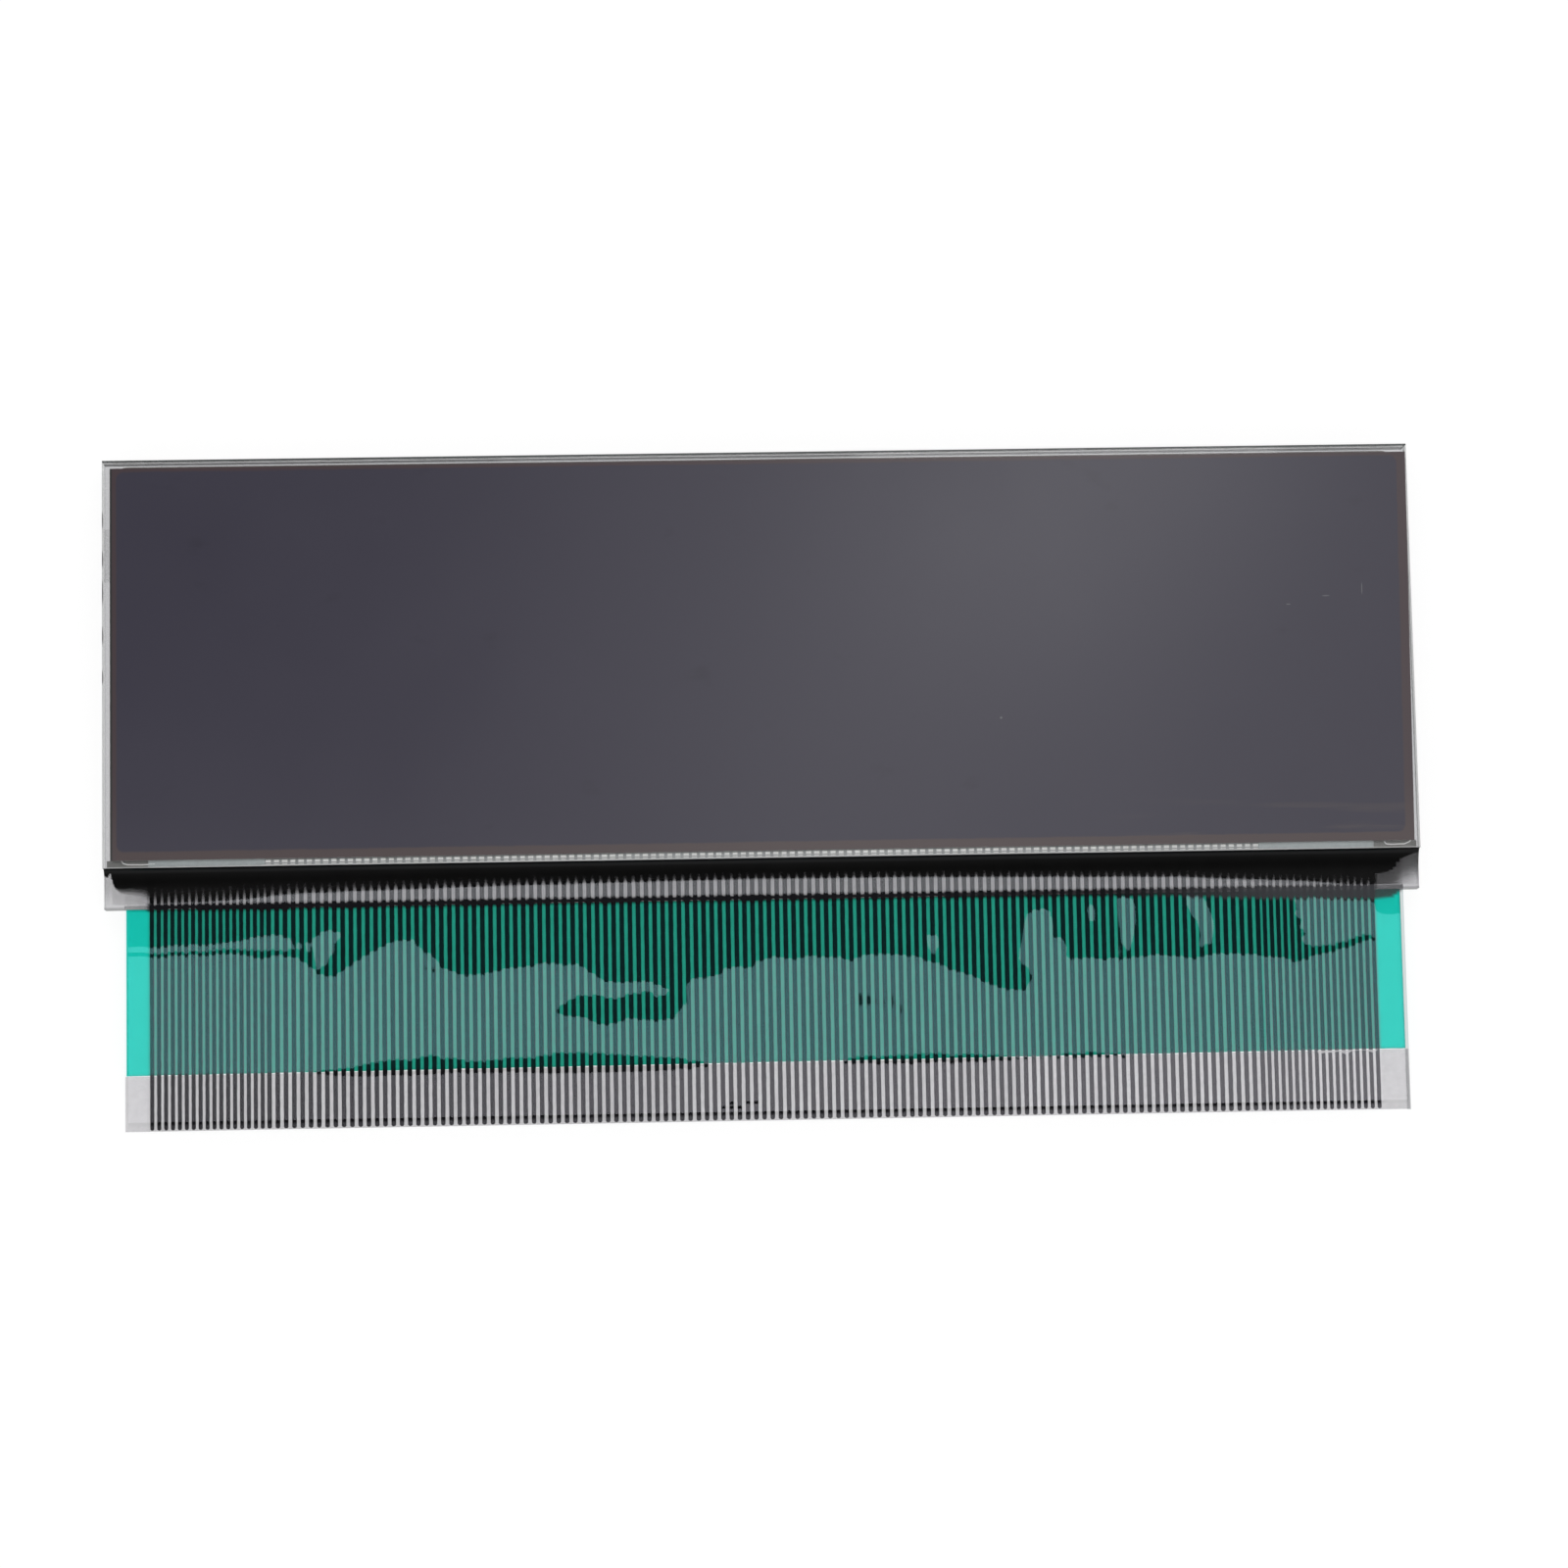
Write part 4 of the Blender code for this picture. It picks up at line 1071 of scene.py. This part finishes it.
def mark_recipe():
    """A small flat pad for every carrier point, each a little different in length and place."""
    recipe = Recipe("electrode marks")
    points = recipe.input("Carrier", "Geometry")
    length, thickness, unevenness, lean = recipe.numbers("Length", "Thickness", "Unevenness", "Lean")
    material = recipe.input("Material", "Material")
    local = recipe.here()
    pad = recipe.box(2)
    for axis, name in enumerate(("across", "along", "up")):
        pad = recipe.store(pad, name, local[axis])
    for axis, name in enumerate(("x", "y", "z")):
        points = recipe.store(points, name, recipe.here()[axis])
    pads = recipe.copies(points, pad)
    place = recipe.times(recipe.read("x"), GRAIN_APART)
    row = recipe.times(recipe.read("y"), MARK_ROW_GRAIN)
    grain = recipe.noise(recipe.point(place, row, 0.0), 1.0, detail=2.0)
    own_length = recipe.add(length, recipe.times(recipe.minus(grain, 0.5), unevenness))
    x = recipe.math("MULTIPLY_ADD", recipe.read("across"), own_length, recipe.read("x"))
    y = recipe.math("MULTIPLY_ADD", recipe.read("along"), recipe.read("height"), recipe.read("y"))
    z = recipe.math("MULTIPLY_ADD", recipe.read("up"), thickness, recipe.read("z"))
    z = recipe.add(z, recipe.times(recipe.read("along"), recipe.read("height"), lean))
    recipe.finish(recipe.move_to(pads, recipe.point(x, y, z)), material)
    return recipe


def make_marks():
    """Pale marks at the electrodes' ends, seen through the lower border of the front glass."""
    middle = CENTRES[SIDE_CONDUCTORS:-SIDE_CONDUCTORS]
    places, heights = [], []
    for inset, height in MARK_ROWS:
        places += [(x, FRONT_GLASS_EDGE + inset, MARK_TOP - MARK_THICKNESS / 2) for x in middle]
        heights += [height] * len(middle)
    piece = carrier("electrode_marks", places, height=heights)
    pale = metal_finish("electrode marks", (0.5, 0.5, 0.49), (0.75, 0.75, 0.74), 0.3)
    return mark_recipe().grow(
        piece,
        {
            "Length": MARK_LENGTH,
            "Thickness": MARK_THICKNESS,
            "Unevenness": MARK_UNEVENNESS,
            "Lean": MARK_LEAN,
            "Material": pale,
        },
    )


def make_corner_lines():
    """Pale electrode lines that turn round the two lower corners of the gap."""
    pale = metal_finish("corner electrodes", (0.85, 0.85, 0.84), (0.95, 0.95, 0.94), 0.45)
    pieces = []
    for name, points in CORNER_LINES.items():
        path = np.array(points) * MM
        run = np.gradient(path, axis=0)
        run /= np.hypot(run[:, 0], run[:, 1])[:, None]
        aside = np.stack([-run[:, 1], run[:, 0]], -1) * CORNER_LINE_WIDTH / 2
        sides = np.stack([path + aside, path - aside], axis=1)
        high = MARK_TOP + MARK_LEAN * (sides[..., 1] - path[:, 1:])
        piece = slab(name, sides[..., 0], sides[..., 1], high, high - MARK_THICKNESS, [pale])
        piece.data.shade_flat()
        pieces.append(piece)
    return pieces


def make_gap_resin():
    """Resin drawn into the gap between the plates, beside the crossover strips; the middle span is a
    lighter copy with painted sheen.
    """
    bottom, top = FRONT_GLASS_EDGE + GAP_RESIN_CLEARANCE, CROSSOVER_LEFT[1].y
    dull = metal_finish("drawn-in resin", (0.16, 0.16, 0.155), (0.22, 0.22, 0.215), 0.32)
    # The middle span takes a lighter copy of the same resin: painted sheen
    painted_light = metal_finish("shining drawn-in resin", (0.25, 0.26, 0.26), (0.33, 0.34, 0.34), 0.32)
    spans = {
        "left": (GLASS_LEFT + GAP_RESIN_INSET_LEFT, CROSSOVER_LEFT[0].x - GAP_RESIN_CLEARANCE, dull),
        "middle": (
            CROSSOVER_LEFT[1].x + GAP_RESIN_CLEARANCE, CROSSOVER_RIGHT[0].x - GAP_RESIN_CLEARANCE, painted_light),
        "right": (CROSSOVER_RIGHT[1].x + GAP_RESIN_CLEARANCE, GLASS_RIGHT - GAP_RESIN_INSET_RIGHT, dull),
    }
    pieces = []
    for side, (left, right, finish) in spans.items():
        xs = np.linspace(left, right, GAP_RESIN_COLUMNS)
        x, y = np.meshgrid(xs, np.linspace(top, bottom, GAP_RESIN_ROWS), indexing="ij")
        high = GAP_RESIN_TOP - GAP_RESIN_FALL * (top - y) / (top - bottom)
        low = np.full(x.shape, GAP_RESIN_BOTTOM)
        piece = slab("gap_resin_" + side, x, y, high, low, [finish])
        piece.data.shade_flat()
        pieces.append(piece)
    return pieces


def resin_and_shadow_cover(x, y):
    """How far the resin hides what is under it: 1 is black, 0 is clear. The black is partly painted
    shadow, and its fade to clear and the smoky grey beside the conductors are painted shadow.
    """
    reach = FRONT_GLASS_EDGE - y
    at_ink = np.abs(x[..., None] - CENTRES).min(-1) < RESIN_TIP_HALF_WIDTH
    black = along(RESIN_AND_SHADOW_BLACK_REACH, x)
    clear_from = black + along(RESIN_SHADOW_FADES, x)
    black = black + RESIN_TIP * at_ink
    solid = 1.0 - smooth((reach - black) / (clear_from - black)) ** 2
    # Painted shadow: smoky grey beside the conductors
    side_shadow = SIDE_SHADOW_COVER * (1.0 - smooth((reach - black) / SIDE_SHADOW_REACH) ** 2)
    beside = (x > LAST_LINE + SIDE_PITCH / 2) + SIDE_SHADOW_LEFT_SHARE * (x < FIRST_LINE - SIDE_PITCH / 2)
    return np.maximum(solid, side_shadow * beside)


def resin_gloss(x, y):
    """How the resin shines: along its thin foot, and faintly just below the front glass."""
    foot = smooth((along(FOOT_LINE, x) - y) / FOOT_LINE_SOFTNESS + 0.5)
    off_top_line = np.abs(FRONT_GLASS_EDGE - y - TOP_GLOSS_REACH)
    return np.maximum(foot, TOP_GLOSS * smooth(2.0 - off_top_line / TOP_GLOSS_SOFTNESS))


def resin_columns():
    """x of the bead's grid lines: over the conductors' edges and the middle of each gap between them."""
    step, beside = 0.25 * MM, 0.05 * MM
    gaps = (CENTRES[1:] + CENTRES[:-1]) / 2
    over_lines = np.sort(np.concatenate([CENTRES - WIDTHS / 2, CENTRES + WIDTHS / 2, gaps]))
    return np.concatenate([
        np.linspace(GLASS_LEFT + 0.06 * MM, RIBBON[0].x - beside, 16),
        np.arange(RIBBON[0].x + beside, FIRST_LINE - SIDE_PITCH, step),
        over_lines,
        np.arange(LAST_LINE + SIDE_PITCH, RIBBON[1].x - beside - step, step),
        np.linspace(RIBBON[1].x - beside, GLASS_RIGHT - 0.05 * MM, 16),
    ])


def make_resin(grid):
    """The black bead in the step, hollow in section, thinning to clear over the conductors; its black is
    partly painted shadow, and the fade to clear is painted shadow.
    """
    share = np.linspace(0.0, 1.0, RESIN_ROWS) ** RESIN_ROW_GATHERING
    ys = FRONT_GLASS_EDGE - RESIN_CLEARANCE - (RESIN_WIDTH - RESIN_CLEARANCE) * share
    x, y = np.meshgrid(resin_columns(), ys, indexing="ij")
    hollow = 1.0 - np.sqrt(1.0 - (1.0 - share) ** 2)
    film = np.interp(-ys, -grid[1][0], grid[2][0])
    foot = FILM_TOP + RESIN_FOOT
    top = np.broadcast_to(foot + (RESIN_TOP - foot) * hollow + film, x.shape)
    over_film = (x > RIBBON[0].x) & (x < RIBBON[1].x) & (y < RIBBON_START)
    bottom = np.where(over_film, FILM_TOP + film + RESIN_OFF_FILM, LEDGE_TOP + RESIN_CLEARANCE)
    piece = slab("resin_bead", x, y, top, bottom, [resin_finish()])
    paint_layer(piece, "cover", resin_and_shadow_cover(x, y))
    paint_layer(piece, "gloss", resin_gloss(x, y))
    return piece


# Stage


def make_floor():
    look = Finish("white floor")
    path = look.node("ShaderNodeLightPath").outputs
    seen = look.larger(path["Is Camera Ray"], path["Is Glossy Ray"])
    seen = look.larger(seen, path["Is Transmission Ray"])
    colour = look.mix(seen, (0.8, 0.8, 0.8), (0.22, 0.22, 0.22))
    matt = look.node("ShaderNodeBsdfDiffuse", {"Color": colour}).outputs[0]
    glow = {"Color": (1.0, 1.0, 1.0), "Strength": look.times(seen, FLOOR_GLOW)}
    lift = look.node("ShaderNodeEmission", glow).outputs[0]
    material = look.done(look.node("ShaderNodeAddShader", {0: matt, 1: lift}).outputs[0])
    bpy.ops.mesh.primitive_plane_add(size=FLOOR_SIZE, location=(0.0, 0.0, -FLOOR_DROP))
    floor = bpy.context.object
    floor.name = "floor"
    floor.data.materials.append(material)


def make_sky():
    """A plain studio dome: bright all round, dark overhead beside the softbox."""
    world = bpy.data.worlds.new("studio")
    bpy.context.scene.world = world
    world.use_nodes = True
    sky = Tree(world.node_tree)
    up = sky.xyz(sky.node("ShaderNodeTexCoord").outputs["Generated"])[2]
    ends = {"Value": up, "From Min": 0.62, "From Max": 0.9, "To Min": SKY_SIDE, "To Max": SKY_TOP}
    strength = sky.node("ShaderNodeMapRange", ends, interpolation_type="SMOOTHSTEP").outputs["Result"]
    background = sky.node("ShaderNodeBackground", {"Strength": strength}).outputs[0]
    sky.node("ShaderNodeOutputWorld", {"Surface": background})


def make_lamps():
    """Lamps overhead that face straight down."""
    for name, (middle, (width, depth), radiance, drop, turn) in LAMPS.items():
        lamp = bpy.data.lights.new(name, "AREA")
        lamp.shape = "RECTANGLE"
        lamp.size, lamp.size_y = width, depth
        lamp.energy = radiance * math.pi * width * depth
        holder = bpy.data.objects.new(name, lamp)
        holder.location = (*middle, LAMP_HEIGHT - drop)
        holder.rotation_euler = (0.0, 0.0, math.radians(turn))
        bpy.context.scene.collection.objects.link(holder)


def make_camera():
    camera = bpy.data.objects.new("camera", bpy.data.cameras.new("camera"))
    camera.data.lens = CAMERA_LENS
    camera.data.sensor_width = SENSOR_WIDTH
    camera.data.clip_start = 0.01
    camera.location = CAMERA_PLACE
    camera.rotation_mode = "YXZ"
    camera.rotation_euler = tuple(math.radians(angle) for angle in CAMERA_TURN)
    bpy.context.scene.collection.objects.link(camera)
    bpy.context.scene.camera = camera


def dress_cell():
    """Materials for the CAD nodes, which keep their meshes."""
    front_tints = ((0.97, 0.975, 0.975), (0.97, 0.975, 0.975))
    # The rear pane's dark tints are painted shade of the floor seen through it, darker on the ledge
    rear_shade_tints = ((0.53, 0.525, 0.545), (0.66, 0.66, 0.68))
    paste = metal_finish(
        "conductive paste", (0.34, 0.37, 0.375), (0.44, 0.475, 0.48), 0.35, lean=MARK_LEAN)
    finishes = {
        "front_polarizer": polarizer_finish(),
        "front_glass": glass_finish(
            "front float glass", FRONT_GLASS, front_tints, 0.5, (0.27, 0.262, 0.26), is_front=True),
        "rear_glass": glass_finish(
            "rear float glass", REAR_GLASS, rear_shade_tints, 0.1, (0.22, 0.205, 0.2), is_front=False),
        "rear_polarizer": plain_finish(
            "rear polarizing film", (0.02, 0.02, 0.024), (0.035, 0.035, 0.04), 0.35, 300.0),
        "perimeter_seal": plain_finish("epoxy seal", (0.58, 0.54, 0.51), (0.68, 0.64, 0.6), 0.5, 1500.0),
        "fill_port_plug": plug_finish(),
        "liquid_crystal": plain_finish(
            "liquid crystal layer", (0.03, 0.03, 0.036), (0.045, 0.045, 0.05), 0.3, 500.0),
        "crossover_strip_left": paste,
        "crossover_strip_right": paste,
        "ledge_adhesive": adhesive_finish(
            "ledge adhesive", 0.3, (0.83, 0.825, 0.835), clear_margin=True),
        "tail_adhesive": adhesive_finish(
            "tail adhesive", 0.42, (0.94, 0.935, 0.945), clear_margin=False),
    }
    for node, material in finishes.items():
        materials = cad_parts[node].data.materials
        materials.clear()
        materials.append(material)


def main():
    make_camera()
    make_lamps()
    make_sky()
    make_floor()
    dress_cell()
    grid = film_rise()
    film = make_film(grid)
    finish_piece(make_conductors(film), "ribbon_film", "ribbon")
    finish_piece(film, "ribbon_film", "ribbon")
    finish_piece(make_coat(grid), "green_coat", "cover_coat")
    finish_piece(make_resin(grid), "sealing_resin", "edge_resin")
    finish_piece(make_marks(), "conductive_paste")
    for piece in make_corner_lines():
        finish_piece(piece, "conductive_paste")
    for piece in make_gap_resin():
        finish_piece(piece, "sealing_resin")
    bpy.context.scene.view_settings.view_transform = "Standard"


main()
